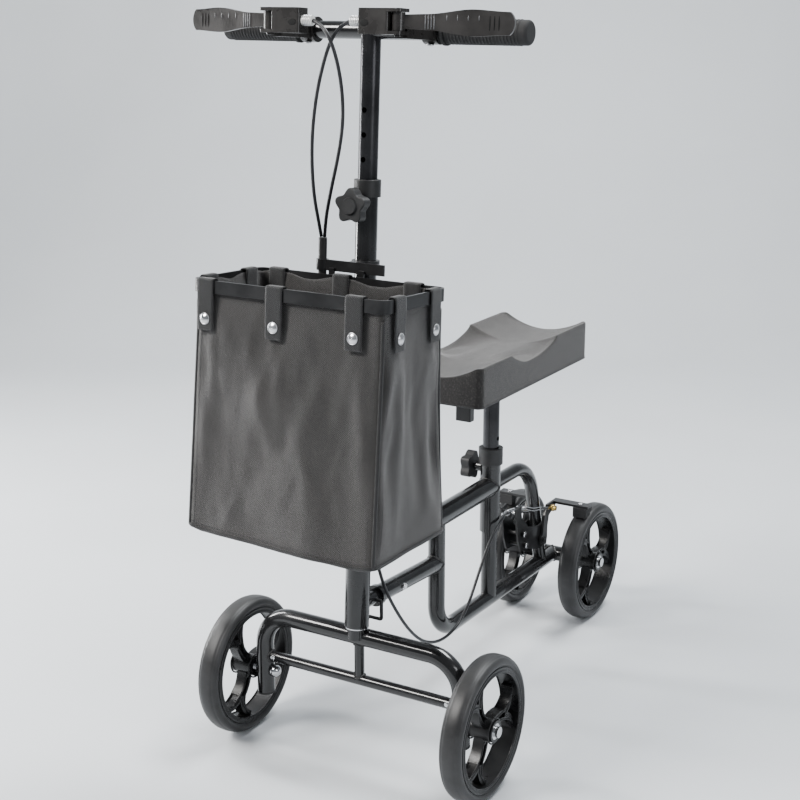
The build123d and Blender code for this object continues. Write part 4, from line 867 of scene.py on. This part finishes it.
def bag_push(x, y, out, h):
    """How far the cloth stands out of the plain outline, in mm."""
    depth = sizes().fold_depth / MM
    down = (BAG_HIGH - h) / (BAG_HIGH - BAG_LOW)
    facing = abs(out[1]) > 0.7
    along = x if facing else y
    half = BAG_HALF_X if facing else BAG_HALF_Y
    middle = 1 - ease(abs(along), half * 0.78, half)
    lean = along + 26.0 * down * math.sin(2.2 * down)
    dents = noise.noise(Vector((lean / 62.0 + 3.1 * out[0] + 0.4, h / 88.0 + 0.3, 2.3 + out[1])))
    crease = 1 - 2.6 * abs(noise.noise(Vector((lean / 46.0, h / 120.0, 7.7 + 2 * out[0] + out[1]))))
    soft = noise.noise(Vector((along / 15.0, h / 34.0, 11.0 + out[1])))
    push = depth * (0.85 * dents + 0.26 * crease + 0.14 * soft) * middle
    drawn = FRONT_FOLDS if out[1] < -0.7 else SIDE_FOLDS if abs(out[0]) > 0.7 else ()
    push += sum(fold(along, h, run) for run in drawn) * middle
    push *= ease(down, 0.02, 0.25) * (1 - 0.5 * ease(down, 0.9, 1.0))
    snaps = FRONT_STRAPS if out[1] < 0 else BACK_STRAPS
    snaps = snaps if facing else [s - BAG_MID for s in SIDE_STRAPS]
    for place in snaps:
        for slant in (-0.22, 0.14):
            away = along - place - slant * (SNAP_H - h)
            ridge = math.exp(-((away / 10.0) ** 2))
            push += 1.7 * ridge * ease(SNAP_H - h, 4, 40) * (1 - ease(SNAP_H - h, 70, 200)) * middle
    push += (3.0 if facing else -2.5) * math.sin(math.pi * min(1.0, down * 1.02)) ** 2 * middle
    push += -2.2 * middle * ease(down, 0.0, 0.05) * (1 - ease(down, 0.05, 0.3))
    if out[1] > 0.7:
        push = max(-8.0, min(2.5, push))
    return push


def hung(x, y, h):
    """The bag's flare, its sagging back and its rising back edge, towards the bottom."""
    low = max(0.0, min(1.0, (FLARE_FROM - h) / (FLARE_FROM - BAG_LOW)))
    rear = ease(y, -BAG_HALF_Y, BAG_HALF_Y)
    wide = ease(abs(x), 70, 132)
    lift = BACK_RISE * rear * low * low + 4.0 * ease(abs(x), 112, 138) * low ** 6
    swing = (1 - rear) * low * (BAG_SWING * ease(x, -138, 138) - 4.0 * ease(-x, 0, 138))
    return on_column(x * (1 + BAG_FLARE * low / BAG_HALF_X) - BAG_DRIFT * low * (1 - 0.6 * rear),
                     BAG_MID + y + BACK_SAG * wide * rear * low * low - swing, h + lift)


def bag_place(step, count, h, inset=0.0):
    x, y, out = bag_outline(step, count, inset)
    push = bag_push(x, y, out, h)
    return hung(x + out[0] * push, y + out[1] * push, h)


def hem_height(step, count):
    """The open edge dips a little between its straps."""
    x, y, out = bag_outline(step, count)
    facing = abs(out[1]) > 0.7
    places = (FRONT_STRAPS if out[1] < 0 else BACK_STRAPS) if facing else [s - BAG_MID for s in SIDE_STRAPS]
    along = x if facing else y
    near = min(abs(along - p) for p in places)
    return BAG_HIGH - 1.0 - 5.5 * ease(near, 12, 46)


def bag_shell():
    around, levels = 300, 84
    points, faces = [], []

    def wall(inset, flip):
        base = len(points)
        for i in range(levels + 1):
            for k in range(around):
                top = hem_height(k, around)
                h = BAG_LOW + 1.0 + inset + (top - BAG_LOW - 1.0 - inset) * i / levels
                points.append(bag_place(k, around, h, inset))
        faces.extend(bridged(base, around, levels, flip))
        return base

    def floor(base, inset, flip):
        ring = [base + k for k in range(around)]
        for shrink in (0.94, 0.7, 0.4, 0.12):
            start = len(points)
            for k in range(around):
                x, y, _out = bag_outline(k, around, inset)
                sag = 1.1 * (1 - shrink) + 0.5 * noise.noise(Vector((x / 30 * shrink, y / 30 * shrink, 5)))
                points.append(hung(x * shrink, y * shrink, BAG_LOW + 1.0 + inset - sag * 0.6))
            for k in range(around):
                m = (k + 1) % around
                quad = (start + k, start + m, ring[m], ring[k])
                faces.append(tuple(reversed(quad)) if flip else quad)
            ring = [start + k for k in range(around)]
        faces.append(tuple(ring) if flip else tuple(reversed(ring)))

    outer = wall(0.0, False)
    inner = wall(1.6, True)
    for k in range(around):
        m = (k + 1) % around
        top_out = outer + levels * around
        top_in = inner + levels * around
        faces.append((top_out + k, top_out + m, top_in + m, top_in + k))
    floor(outer, 0.0, False)
    floor(inner, 1.6, True)
    return points, faces


def stitches(line, radius, pitch, share=0.62):
    """Short rounded stitches along a line of points."""
    parts = []
    lengths = [0.0]
    for a, b in zip(line, line[1:]):
        lengths.append(lengths[-1] + (b - a).length)

    def at(distance):
        for i in range(len(lengths) - 1):
            if lengths[i + 1] >= distance:
                span = lengths[i + 1] - lengths[i]
                return line[i].lerp(line[i + 1], (distance - lengths[i]) / span if span else 0)
        return line[-1]

    distance = pitch / 2
    while distance + pitch * share < lengths[-1]:
        ends = [at(distance + pitch * share * t) for t in (0.0, 0.25, 0.75, 1.0)]
        parts.append(tube(ends, [radius * 0.4, radius, radius, radius * 0.4], 5))
        distance += pitch
    return joined(parts)


class SCOOTER_OT_bag(bpy.types.Operator):
    """Make the sewn bag with its piping, hem and stitches"""
    bl_idname = "scooter.bag"
    bl_label = "Basket Bag"

    def execute(self, context):
        bag = add_mesh("bag_cloth", *bag_shell(), "bag_fabric")
        bag.data.materials.append(FINISH["bag_base"])
        for face in bag.data.polygons:
            if abs(face.normal.dot(COLUMN_UP)) > 0.8:
                face.material_index = 1
        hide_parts("basket_bag")
        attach(bag, "column")
        around = 300
        radius = sizes().piping_r
        parts = []
        corners = []
        for k in range(around):
            _x, _y, out = bag_outline(k, around)
            if abs(abs(out[0]) - abs(out[1])) < 0.45:
                corners.append(k)
        middles = []
        for quarter in ((1, -1), (1, 1), (-1, 1), (-1, -1)):
            middles.append(min(corners, key=lambda k: (
                (bag_outline(k, around)[2][0] - quarter[0] * 0.7071) ** 2
                + (bag_outline(k, around)[2][1] - quarter[1] * 0.7071) ** 2)))
        for k in middles:
            line = [bag_place(k, around, BAG_LOW + 2 + (BAG_HIGH - BAG_LOW - 26) * i / 70)
                    for i in range(71)]
            parts.append(tube(line, radius, 10))
        loop = [bag_place(k, around, BAG_LOW + 2.2) for k in range(around)]
        parts.append(tube(loop, radius, 10, closed=True))
        fitted("bag_piping", joined(parts), "strap_webbing", "column")
        rows = []
        for k in middles:
            for shift in (-2, 2):
                line = [bag_place(k + shift * 1.6, around, BAG_LOW + 6 + (BAG_HIGH - BAG_LOW - 34) * i / 90)
                        for i in range(91)]
                rows.append(stitches(line, 0.0004, 0.0042))
        for drop in (7.0, 17.0):
            hem = [bag_place(k, around, hem_height(k, around) - drop) for k in range(around + 1)]
            rows.append(stitches(hem, 0.00045, 0.0045))
        base = [bag_place(k, around, BAG_LOW + 8.0) for k in range(around + 1)]
        rows.append(stitches(base, 0.00045, 0.0045))
        fitted("bag_stitches", joined(rows), "thread", "column")
        return {"FINISHED"}


# ---------------------------------------------------------------- straps

RIM_FACE_X = 141.5
RIM_FACE_FRONT = -182.0
RIM_FACE_BACK = -34.0
RIM_HIGH = 690.0
STRAP_LOW = 626.0
STRAP_HALF = 12.3
STRAP_T = 1.9
STRAP_IN = 8.3


def strap_line():
    """The strap's middle line over the rim: (out of the rim's face, up the column), in mm."""
    line = []
    for k in range(25):
        t = k / 24
        h = STRAP_LOW + 1 + (RIM_HIGH - STRAP_LOW - 2.5) * t
        line.append((1.45 + 0.35 * math.sin(t * 9.0) * ease(t, 0.3, 0.6) * (1 - ease(t, 0.85, 1)), h))
    for k in range(1, 7):
        turn = math.pi / 2 * k / 6
        line.append((1.45 - 2.4 * (1 - math.cos(turn)), RIM_HIGH - 1.5 + 3.1 * math.sin(turn)))
    line.append((-3.5, RIM_HIGH + 1.7))
    for k in range(1, 7):
        turn = math.pi / 2 * k / 6
        line.append((-STRAP_IN + 2.4 - 2.4 * math.sin(turn), RIM_HIGH - 0.7 + 2.4 * math.cos(turn)))
    for k in range(1, 12):
        line.append((-STRAP_IN - 0.1 * math.sin(k), RIM_HIGH - 0.7 - 28 * k / 11))
    return line


def strap_mesh(x, y, turn, seed):
    """One webbing strap hung over the rim, with rounded edges and a nearly square low end."""
    out = Vector((math.cos(turn), 0, 0)) + COLUMN_BACK * math.sin(turn)
    out = out.normalized()
    along = out.cross(COLUMN_UP)
    line = strap_line()
    count = len(line)
    section = [(-1 + 2 * k / 10, 0.5) for k in range(11)]
    section += [(1 - 2 * k / 10, -0.5) for k in range(11)]
    points = []
    for i, (o, h) in enumerate(line):
        before, after = line[max(0, i - 1)], line[min(count - 1, i + 1)]
        run = Vector((after[0] - before[0], after[1] - before[1])).normalized()
        normal = Vector((run.y, -run.x))
        narrow = 1.0
        if h < STRAP_LOW + 9 and i < 12:
            narrow = math.sqrt(max(0.02, 1 - ((STRAP_LOW + 9 - h) / 9.5) ** 2)) * 0.14 + 0.86
        wave = 0.25 * noise.noise(Vector((h / 14.0, seed * 3.7, 1.0)))
        for across, side in section:
            edge = math.sqrt(max(0.0, 1 - max(0.0, (abs(across) - 0.86) / 0.14) ** 2))
            thick = STRAP_T * side * (0.35 + 0.65 * edge)
            place_o = o + normal.x * thick + wave * abs(across)
            place_h = h + normal.y * thick
            points.append(on_column(x, y, 0) + out * (place_o * MM) + COLUMN_UP * (place_h * MM)
                          + along * (across * STRAP_HALF * narrow * MM))
    ring = len(section)
    faces = bridged(0, ring, count - 1)
    faces.append(tuple(reversed(range(ring))))
    faces.append(tuple((count - 1) * ring + k for k in range(ring)))
    return points, faces


def strap_places():
    places = [(x, RIM_FACE_FRONT, -90) for x in FRONT_STRAPS]
    places += [(x, RIM_FACE_BACK, 90) for x in BACK_STRAPS]
    for y in SIDE_STRAPS:
        places += [(RIM_FACE_X, y, 0), (-RIM_FACE_X, y, 180)]
    return places


class SCOOTER_OT_straps(bpy.types.Operator):
    """Hang the webbing straps over the basket rim and set the snap washers"""
    bl_idname = "scooter.straps"
    bl_label = "Basket Straps"

    def execute(self, context):
        parts, washers, rows = [], [], []
        for number, (x, y, degrees) in enumerate(strap_places()):
            turn = math.radians(degrees)
            parts.append(strap_mesh(x, y, turn, number))
            out = (Vector((math.cos(turn), 0, 0)) + COLUMN_BACK * math.sin(turn)).normalized()
            along = out.cross(COLUMN_UP)
            middle = on_column(x, y, SNAP_H) + out * 0.0024
            washers.append(turned([(0.0, 0.0064), (0.0006, 0.0074), (0.0011, 0.0073), (0.0013, 0.0064)],
                                  middle, out, 32))
            for side in (-1, 1):
                line = [on_column(x, y, h) + out * 0.00245 + along * (side * 0.0098)
                        for h in range(636, 686, 4)]
                rows.append(stitches(line, 0.00035, 0.0036))
        fitted("strap_loops", joined(parts),
               "strap_webbing", "column", node="basket_straps")
        fitted("snap_washers", joined(washers), "worn_alloy", "column")
        fitted("strap_stitches", joined(rows), "thread", "column")
        return {"FINISHED"}


# ---------------------------------------------------------------- welds


def weld(start, direction, small, middle, axis, big, seed=0.0, steps=72):
    """A rippled bead where a round tube meets the outside of a larger one."""
    direction, axis = Vector(direction).normalized(), Vector(axis).normalized()
    side = direction.cross(axis)
    side = side.normalized() if side.length > 1e-6 else direction.orthogonal().normalized()
    other = direction.cross(side)
    line, radii = [], []
    for k in range(steps):
        turn = 2 * math.pi * k / steps
        foot = Vector(start) + (side * math.cos(turn) + other * math.sin(turn)) * small
        gap = foot - Vector(middle)
        flat_gap = gap - axis * gap.dot(axis)
        flat_way = direction - axis * direction.dot(axis)
        a = flat_way.length_squared
        b = 2 * flat_gap.dot(flat_way)
        c = flat_gap.length_squared - big * big
        root = b * b - 4 * a * c
        if root < 0:
            root = 0.0
        line.append(foot + direction * ((-b - math.sqrt(root)) / (2 * a)))
        radii.append(sizes().weld_r * (1 + 0.22 * math.sin(k * 2 * math.pi / 3 + seed)
                                       + 0.10 * math.sin(k * 1.7 + seed)))
    return tube(line, radii, 10, closed=True)


class SCOOTER_OT_welds(bpy.types.Operator):
    """Run the weld beads at the joints of the tubes"""
    bl_idname = "scooter.welds"
    bl_label = "Welds"

    def execute(self, context):
        rail = behind_axle(0, 0, 293)
        up = Vector((0, 0, 1))
        back = Vector((0, 1, 0))
        seat = behind_axle(0, 387, 293)
        low_front = behind_axle(0, 216, 106)
        low_back = behind_axle(0, 628, 100)
        low_way = (low_back - low_front).normalized()
        frame_beads = [
            weld(rail + back * 0.06, -back, 0.0160, COLUMN_FOOT, COLUMN_UP, 0.0170, 0.1),
            weld(seat - back * 0.06, back, 0.0160, seat, up, 0.0159, 0.7),
            weld(low_back - low_way * 0.06, low_way, 0.0127, low_back, (1, 0, 0), 0.0127, 1.9),
        ]
        beam_end = on_column(0, 210, 235)
        frame_beads.append(weld(beam_end - COLUMN_BACK * 0.06, COLUMN_BACK, 0.0127,
                                behind_axle(0, 216, 200), up, 0.0127, 2.6))
        fitted("frame_welds", joined(frame_beads), "weld_paint", "frame")
        axle = behind_axle(0, 0, 0)
        steer_beads = []
        for side in (-1, 1):
            leg = axle + Vector((side * 0.160, 0, 0.1225))
            steer_beads.append(weld(leg - Vector((side * 0.05, 0, 0)), (side, 0, 0), 0.008,
                                    leg, up, 0.0127, side))
        arch_middle = axle + Vector((0, 0, 0.188))
        steer_beads.append(weld(arch_middle - up * 0.045, up, 0.007, arch_middle, (1, 0, 0), 0.0127, 0.4))
        brace_middle = axle + Vector((0, 0, 0.1225))
        steer_beads.append(weld(brace_middle + up * 0.03, -up, 0.007, brace_middle, (1, 0, 0), 0.008, 0.9))
        fitted("steering_welds", joined(steer_beads), "weld_paint", "steering")
        return {"FINISHED"}


# ---------------------------------------------------------------- small parts


class SCOOTER_OT_trim(bpy.types.Operator):
    """Add plugs, ribs, screw heads, bands with a painted highlight, slots of painted shade, the brake spring and
    the pinch bolts
    """
    bl_idname = "scooter.trim"
    bl_label = "Trim"

    def execute(self, context):
        up = Vector((0, 0, 1))
        plugs = []
        for side in (-1, 1):
            low = behind_axle(side * 160, 0, 66)
            plugs.append(button(low + up * 0.0002, -up, 0.0131, 0.0042, 32))
        fitted("arch_plugs", joined(plugs), "black_plastic", "steering")
        bolts = [button(behind_axle(side * 142, -7.2, 124), Vector((0, -1, 0)), 0.0036, 0.0022)
                 for side in (-1, 1)]
        for side in (-1, 1):
            bolts.append(button(behind_axle(side * 149.5, 0, 100), Vector((-side, 0, 0)),
                                0.0088, 0.0144, 36))
        fitted("brace_bolts", joined(bolts), "bright_steel", "steering")
        for side, label in ((1, "left"), (-1, "right")):
            self.dress_grip(side, label)
            self.dress_lever(side, label)
        self.dress_brake()
        return {"FINISHED"}

    def dress_grip(self, side, label):
        across = Vector((side, 0, 0))
        ribs = []
        for k in range(22):
            middle = on_column(side * (113 + 4.6 * k), 0, 997)
            ribs.append(turned([(-0.0013, 0.0148), (-0.0009, 0.0154), (0.0, 0.0157),
                                (0.0009, 0.0154), (0.0013, 0.0148)], middle, across, 48))
        fitted(label + "_grip_ribs", joined(ribs), "grip_rubber", "handlebar")

    def dress_lever(self, side, label):
        across = Vector((side, 0, 0))
        front = -COLUMN_BACK
        screw = button(on_column(side * 90, -8, 981.6), -COLUMN_UP, 0.0046, 0.0028)
        fitted(label + "_clamp_screws", screw, "worn_alloy", "handlebar")
        # A near-black raised oval: painted shade standing in for the shadowed mouth of the block.
        mouth_shade = oval(on_column(side * 51.5, -100.0, 1003), across, COLUMN_UP, front, 0.0062, 0.0040, 0.0004)
        fitted(label + "_block_mouth_shade", mouth_shade, "slot_dark", "handlebar")
        barrel = []
        for k in range(5):
            middle = on_column(side * (39 - 2.4 * k), -90, 1005)
            barrel.append(turned([(-0.0008, 0.0058), (-0.0004, 0.0066), (0.0004, 0.0066),
                                  (0.0008, 0.0058)], middle, across, 36))
        fitted(label + "_adjuster_rings", joined(barrel), "worn_alloy", "handlebar")
        tip = on_column(side * 231, -61, 1005)
        pivot = on_column(side * 92, -88, 1005)
        way = (tip - pivot).normalized()
        ahead = way.cross(COLUMN_UP) * side
        if ahead.dot(front) < 0:
            ahead = -ahead
        # Pale grey bands on the blade: raised ridges with their highlight painted into their colour.
        bands = []
        for k in range(4):
            middle = pivot + way * (0.034 + 0.0036 * k)
            line = [middle + ahead * 0.0031 + COLUMN_UP * (0.0085 * t) for t in (-1, -0.5, 0, 0.5, 1)]
            bands.append(tube(line, [0.0004, 0.0008, 0.0009, 0.0008, 0.0004], 8))
        for k in range(4):
            middle = pivot + way * (0.060 + 0.013 * k)
            line = [middle + ahead * 0.00295 + COLUMN_UP * (0.0055 + 0.0032 * t) for t in (-1, 0, 1)]
            bands.append(tube(line, [0.0003, 0.0007, 0.0003], 8))
        fitted(label + "_lever_highlight_band", joined(bands), "lever_light", label + "_lever")
        # Near-black raised marks on the blade: painted shade standing in for slots.
        slot_shades = []
        for k in range(3):
            middle = pivot + way * (0.112 + 0.0055 * k)
            line = [middle + ahead * 0.00285 + COLUMN_UP * (0.0082 * t) for t in (-1, -0.4, 0.4, 1)]
            slot_shades.append(tube(line, [0.0004, 0.0008, 0.0008, 0.0004], 8))
        fitted(label + "_lever_slot_shades", joined(slot_shades), "slot_dark", label + "_lever")

    def dress_brake(self):
        across = Vector((1, 0, 0))
        shaft = behind_axle(0, 545.5, 154)
        coil = []
        turns, steps = 7, 200
        for k in range(steps + 1):
            t = k / steps
            turn = 2 * math.pi * turns * t
            coil.append(shaft + across * (-0.0095 + 0.019 * t)
                        + Vector((0, math.cos(turn), math.sin(turn))) * 0.0064)
        fitted("brake_spring", tube(coil, 0.0007, 8), "bright_steel", "frame")
        wires = []
        for rise in (0.0, 4.5):
            route = [behind_axle(*p) for p in (
                (2, 478, 226 + rise), (7, 494, 224 + rise), (14, 512, 214 + rise), (20, 532, 212 + rise),
                (23.5, 552, 207 + rise * 0.6), (24, 566, 205 + rise * 0.4))]
            wires.append(tube(spline_points("brake_wire", route), 0.0009, 8))
        fitted("brake_return_wires", joined(wires), "bright_steel", "frame")
        noodle_route = [behind_axle(*p) for p in (
            (0, 450, 229), (0, 438, 231), (3, 428, 233), (8, 418, 236), (13, 410, 238.5))]
        fitted("cable_noodle", tube(spline_points("noodle", noodle_route), 0.0029, 12),
               "bright_steel", "frame")
        barrel = turned([(0.0, 0.0022), (0.0, 0.0042), (0.004, 0.0046), (0.0044, 0.0056), (0.0085, 0.0056),
                         (0.009, 0.0046), (0.0125, 0.0040), (0.013, 0.0020)],
                        behind_axle(20.3, 566, 206), across, 28, closed=False)
        fitted("brake_adjuster", barrel, "brass", "brake")
        nuts = [button(behind_axle(18.6, *place), across, 0.0048, 0.0024)
                for place in ((476, 186), (484, 164))]
        fitted("bracket_bolts", joined(nuts), "bright_steel", "frame")
        rivets = []
        for side in (-1, 1):
            rivets.append(button(behind_axle(side * 66, 591, 212), Vector((0, 0, 1)), 0.0038, 0.0018))
        fitted("brake_rivets", joined(rivets), "bright_steel", "brake")


# ---------------------------------------------------------------- stage

CAMERA_PLACE = (1.0122, -1.8675, 1.0452)
CAMERA_YAW = math.radians(30.76)
CAMERA_PITCH = math.radians(15.45)
CAMERA_LENS = 66.92


class SCOOTER_OT_stage(bpy.types.Operator):
    """Set the pale floor, the soft lights and the camera"""
    bl_idname = "scooter.stage"
    bl_label = "Stage"

    def execute(self, context):
        scene = context.scene
        material = bpy.data.materials.new("pale_floor")
        material.use_nodes = True
        tree = material.node_tree
        shader = tree.nodes["Principled BSDF"]
        place = tree.nodes.new("ShaderNodeTexCoord").outputs["Object"]
        tone = colours().floor
        patch = ramp_node(tree, noise_node(tree, place, 3.0, 4.0, 0.5), 0.3, 0.7)
        tree.links.new(mixed(tree, patch, tuple(c * 0.975 for c in tone), tuple(tone)),
                       shader.inputs["Base Color"])
        shader.inputs["Roughness"].default_value = 0.55
        reach, wall_at, bend = 9.0, 3.2, 1.2
        section = [(-reach, 0.0), (wall_at - bend, 0.0)]
        for k in range(1, 17):
            turn = math.pi / 2 * k / 16
            section.append((wall_at - bend + bend * math.sin(turn), bend - bend * math.cos(turn)))
        section.append((wall_at, 7.0))
        away = Vector((-math.sin(CAMERA_YAW), math.cos(CAMERA_YAW), 0))
        wide = Vector((math.cos(CAMERA_YAW), math.sin(CAMERA_YAW), 0))
        points, faces = [], []
        for back, z in section:
            for end in (-reach, reach):
                points.append(away * back + wide * end + Vector((0, 0, z)))
        for i in range(len(section) - 1):
            faces.append((2 * i, 2 * i + 1, 2 * i + 3, 2 * i + 2))
        mesh = bpy.data.meshes.new("studio_floor")
        mesh.from_pydata([tuple(p) for p in points], [], faces)
        mesh.polygons.foreach_set("use_smooth", [True] * len(mesh.polygons))
        floor = bpy.data.objects.new("studio_floor", mesh)
        floor.data.materials.append(material)
        scene.collection.objects.link(floor)

        world = bpy.data.worlds.new("soft_room")
        scene.world = world
        world.use_nodes = True
        world.node_tree.nodes["Background"].inputs["Color"].default_value = (0.84, 0.88, 0.92, 1)
        world.node_tree.nodes["Background"].inputs["Strength"].default_value = 0.36
        lamps = (
            ("key", (-1.5, -2.5, 2.8), 1.5, 1.1, 120.0, (1.0, 0.98, 0.95)),
            ("fill", (2.7, -1.0, 1.7), 1.2, 1.5, 25.0, (0.97, 0.98, 1.0)),
            ("strip", (-2.0, -0.3, 1.1), 0.30, 2.0, 44.0, (1.0, 1.0, 1.0)),
            ("top", (0.6, 1.2, 3.2), 1.8, 1.0, 95.0, (0.97, 0.99, 1.0)),
        )
        for name, place, width, height, power, tone in lamps:
            data = bpy.data.lights.new(name, "AREA")
            data.shape = "RECTANGLE"
            data.size, data.size_y, data.energy, data.color = width, height, power, tone
            lamp = bpy.data.objects.new(name, data)
            lamp.location = place
            lamp.rotation_mode = "QUATERNION"
            aim = Vector((0, 0, 0.5)) - Vector(place)
            lamp.rotation_quaternion = aim.to_track_quat("-Z", "Y")
            scene.collection.objects.link(lamp)

        data = bpy.data.cameras.new("camera")
        data.sensor_width = 36.0
        data.lens = CAMERA_LENS
        camera = bpy.data.objects.new("camera", data)
        back = Vector((math.sin(CAMERA_YAW) * math.cos(CAMERA_PITCH),
                       -math.cos(CAMERA_YAW) * math.cos(CAMERA_PITCH), math.sin(CAMERA_PITCH)))
        camera.location = CAMERA_PLACE
        camera.rotation_mode = "QUATERNION"
        camera.rotation_quaternion = (-back).to_track_quat("-Z", "Y")
        scene.collection.objects.link(camera)
        scene.camera = camera
        scene.view_settings.look = "AgX - Medium High Contrast"
        return {"FINISHED"}


# ---------------------------------------------------------------- panel and registration

STEPS = (
    SCOOTER_OT_stage, SCOOTER_OT_finishes, SCOOTER_OT_cables, SCOOTER_OT_tyres,
    SCOOTER_OT_cushion, SCOOTER_OT_bag, SCOOTER_OT_straps, SCOOTER_OT_welds, SCOOTER_OT_trim,
)


class SCOOTER_PT_sidebar(bpy.types.Panel):
    """Lists the scooter's sizes, colours and pieces"""
    bl_label = "Knee Scooter"
    bl_idname = "SCOOTER_PT_sidebar"
    bl_space_type = "VIEW_3D"
    bl_region_type = "UI"
    bl_category = "Scooter"

    def draw(self, context):
        for group in (context.scene.scooter_sizes, context.scene.scooter_colours):
            box = self.layout.box()
            for name in group.__annotations__:
                box.prop(group, name)
        for step in STEPS:
            self.layout.operator(step.bl_idname)


CLASSES = (ScooterSizes, ScooterColours, *STEPS, SCOOTER_PT_sidebar)


def register():
    for item in CLASSES:
        bpy.utils.register_class(item)
    bpy.types.Scene.scooter_sizes = bpy.props.PointerProperty(type=ScooterSizes)
    bpy.types.Scene.scooter_colours = bpy.props.PointerProperty(type=ScooterColours)


def unregister():
    del bpy.types.Scene.scooter_colours
    del bpy.types.Scene.scooter_sizes
    for item in reversed(CLASSES):
        bpy.utils.unregister_class(item)


def main():
    register()
    for step in STEPS:
        group, name = step.bl_idname.split(".")
        getattr(getattr(bpy.ops, group), name)()


if __name__ == "__main__":
    main()
